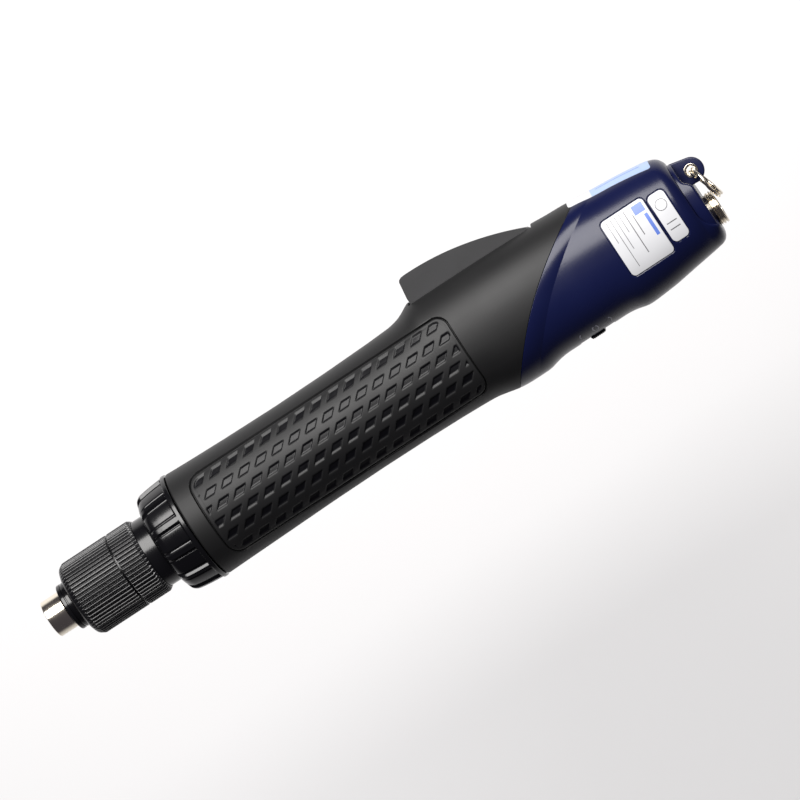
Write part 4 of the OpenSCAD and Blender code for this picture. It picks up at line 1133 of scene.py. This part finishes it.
# ------------------------------------------------------------------ reversing slider
c = 201.7
knob = [[c - 2.7, -17.3, 0], [c - 2.7, -19.6, 0.5]]
for k in range(-3, 4):
    x = c + 0.66 * k
    knob += [[x - 0.24, -20.36, 0.12], [x, -20.02, 0.1], [x + 0.24, -20.36, 0.12]]
knob += [[c + 2.7, -19.6, 0.5], [c + 2.7, -17.3, 0]]
o = resample(rounded(knob, 0.1, seg=3), 0.14)
v, f, _ = stack(o, edge_levels(-2.7, 2.7, 0.35, 4))
parts = [(v, f), block([c - 1.5, -17.5, -1.5], [c + 1.5, -12.3, 1.5])]
v, f, mt = join(parts)
new_object("reversing_slider_knob", v, f, [M["dark_plastic"]], "reversing_slider", ["fr_slider"], mi=mt)

# ------------------------------------------------------------------ stage, light and camera
floor_mat = bpy.data.materials.new("floor")
floor_mat.use_nodes = True
fb = floor_mat.node_tree.nodes["Principled BSDF"]
fb.inputs["Base Color"].default_value = (0.70, 0.70, 0.705, 1)
fb.inputs["Roughness"].default_value = 0.9
fb.inputs["Specular IOR Level"].default_value = 0.1
me = bpy.data.meshes.new("floor")
s, z = 2.5, float(cad_low[2]) - 0.30
me.from_pydata([(-s, -s, z), (s, -s, z), (s, s, z), (-s, s, z)], [], [(0, 1, 2, 3)])
me.materials.append(floor_mat)
floor = bpy.data.objects.new("floor", me)
bpy.context.scene.collection.objects.link(floor)

world = bpy.data.worlds.new("studio")
bpy.context.scene.world = world
world.use_nodes = True
bg = world.node_tree.nodes["Background"]
bg.inputs["Color"].default_value = (0.060, 0.056, 0.068, 1)
bg.inputs["Strength"].default_value = 1.0


def area(name, centre, target, sx, sy, radiance, colour=(1, 1, 1)):
    L = bpy.data.lights.new(name, "AREA")
    L.shape, L.size, L.size_y = "RECTANGLE", sx, sy
    L.energy = radiance * math.pi * sx * sy
    L.color = colour
    ob = bpy.data.objects.new(name, L)
    d = (Vector(target) - Vector(centre)).normalized()
    xax = Vector((1, 0, 0))
    zax = -d
    yax = zax.cross(xax).normalized()
    xax = yax.cross(zax)
    ob.matrix_world = Matrix.Translation(Vector(centre)) @ Matrix((xax, yax, zax)).transposed().to_4x4()
    bpy.context.scene.collection.objects.link(ob)
    return ob


mid = Vector((0.13, 0, 0))
ang = 36 * RAD
area("softbox", mid + Vector((0, math.sin(ang), math.cos(ang))) * 1.0, mid, 1.2, 0.72, 11.5, (1.0, 0.985, 0.97))

cam = bpy.data.cameras.new("camera")
cam.sensor_width = 36
camera = bpy.data.objects.new("camera", cam)
bpy.context.scene.collection.objects.link(camera)
eye = Vector((0.310, -0.0025, 1.75))
SHIFT = 0.12
aim = Vector((0.1355 + SHIFT * 0.262, -0.0025, 0.0))
fwd = (aim - eye).normalized()
up0 = Vector((math.sin(33.3 * RAD), math.cos(33.3 * RAD), 0))
right = fwd.cross(up0).normalized()
up = right.cross(fwd).normalized()
camera.matrix_world = Matrix.Translation(eye) @ Matrix((right, up, -fwd)).transposed().to_4x4()
cam.lens = 36 * (aim - eye).length / 0.2600
cam.shift_x = -SHIFT * math.cos(33 * RAD)
cam.shift_y = -SHIFT * math.sin(33 * RAD)
cam.clip_end = 20
bpy.context.scene.camera = camera
bpy.context.scene.view_settings.view_transform = "Standard"
bpy.context.scene.view_settings.look = "None"
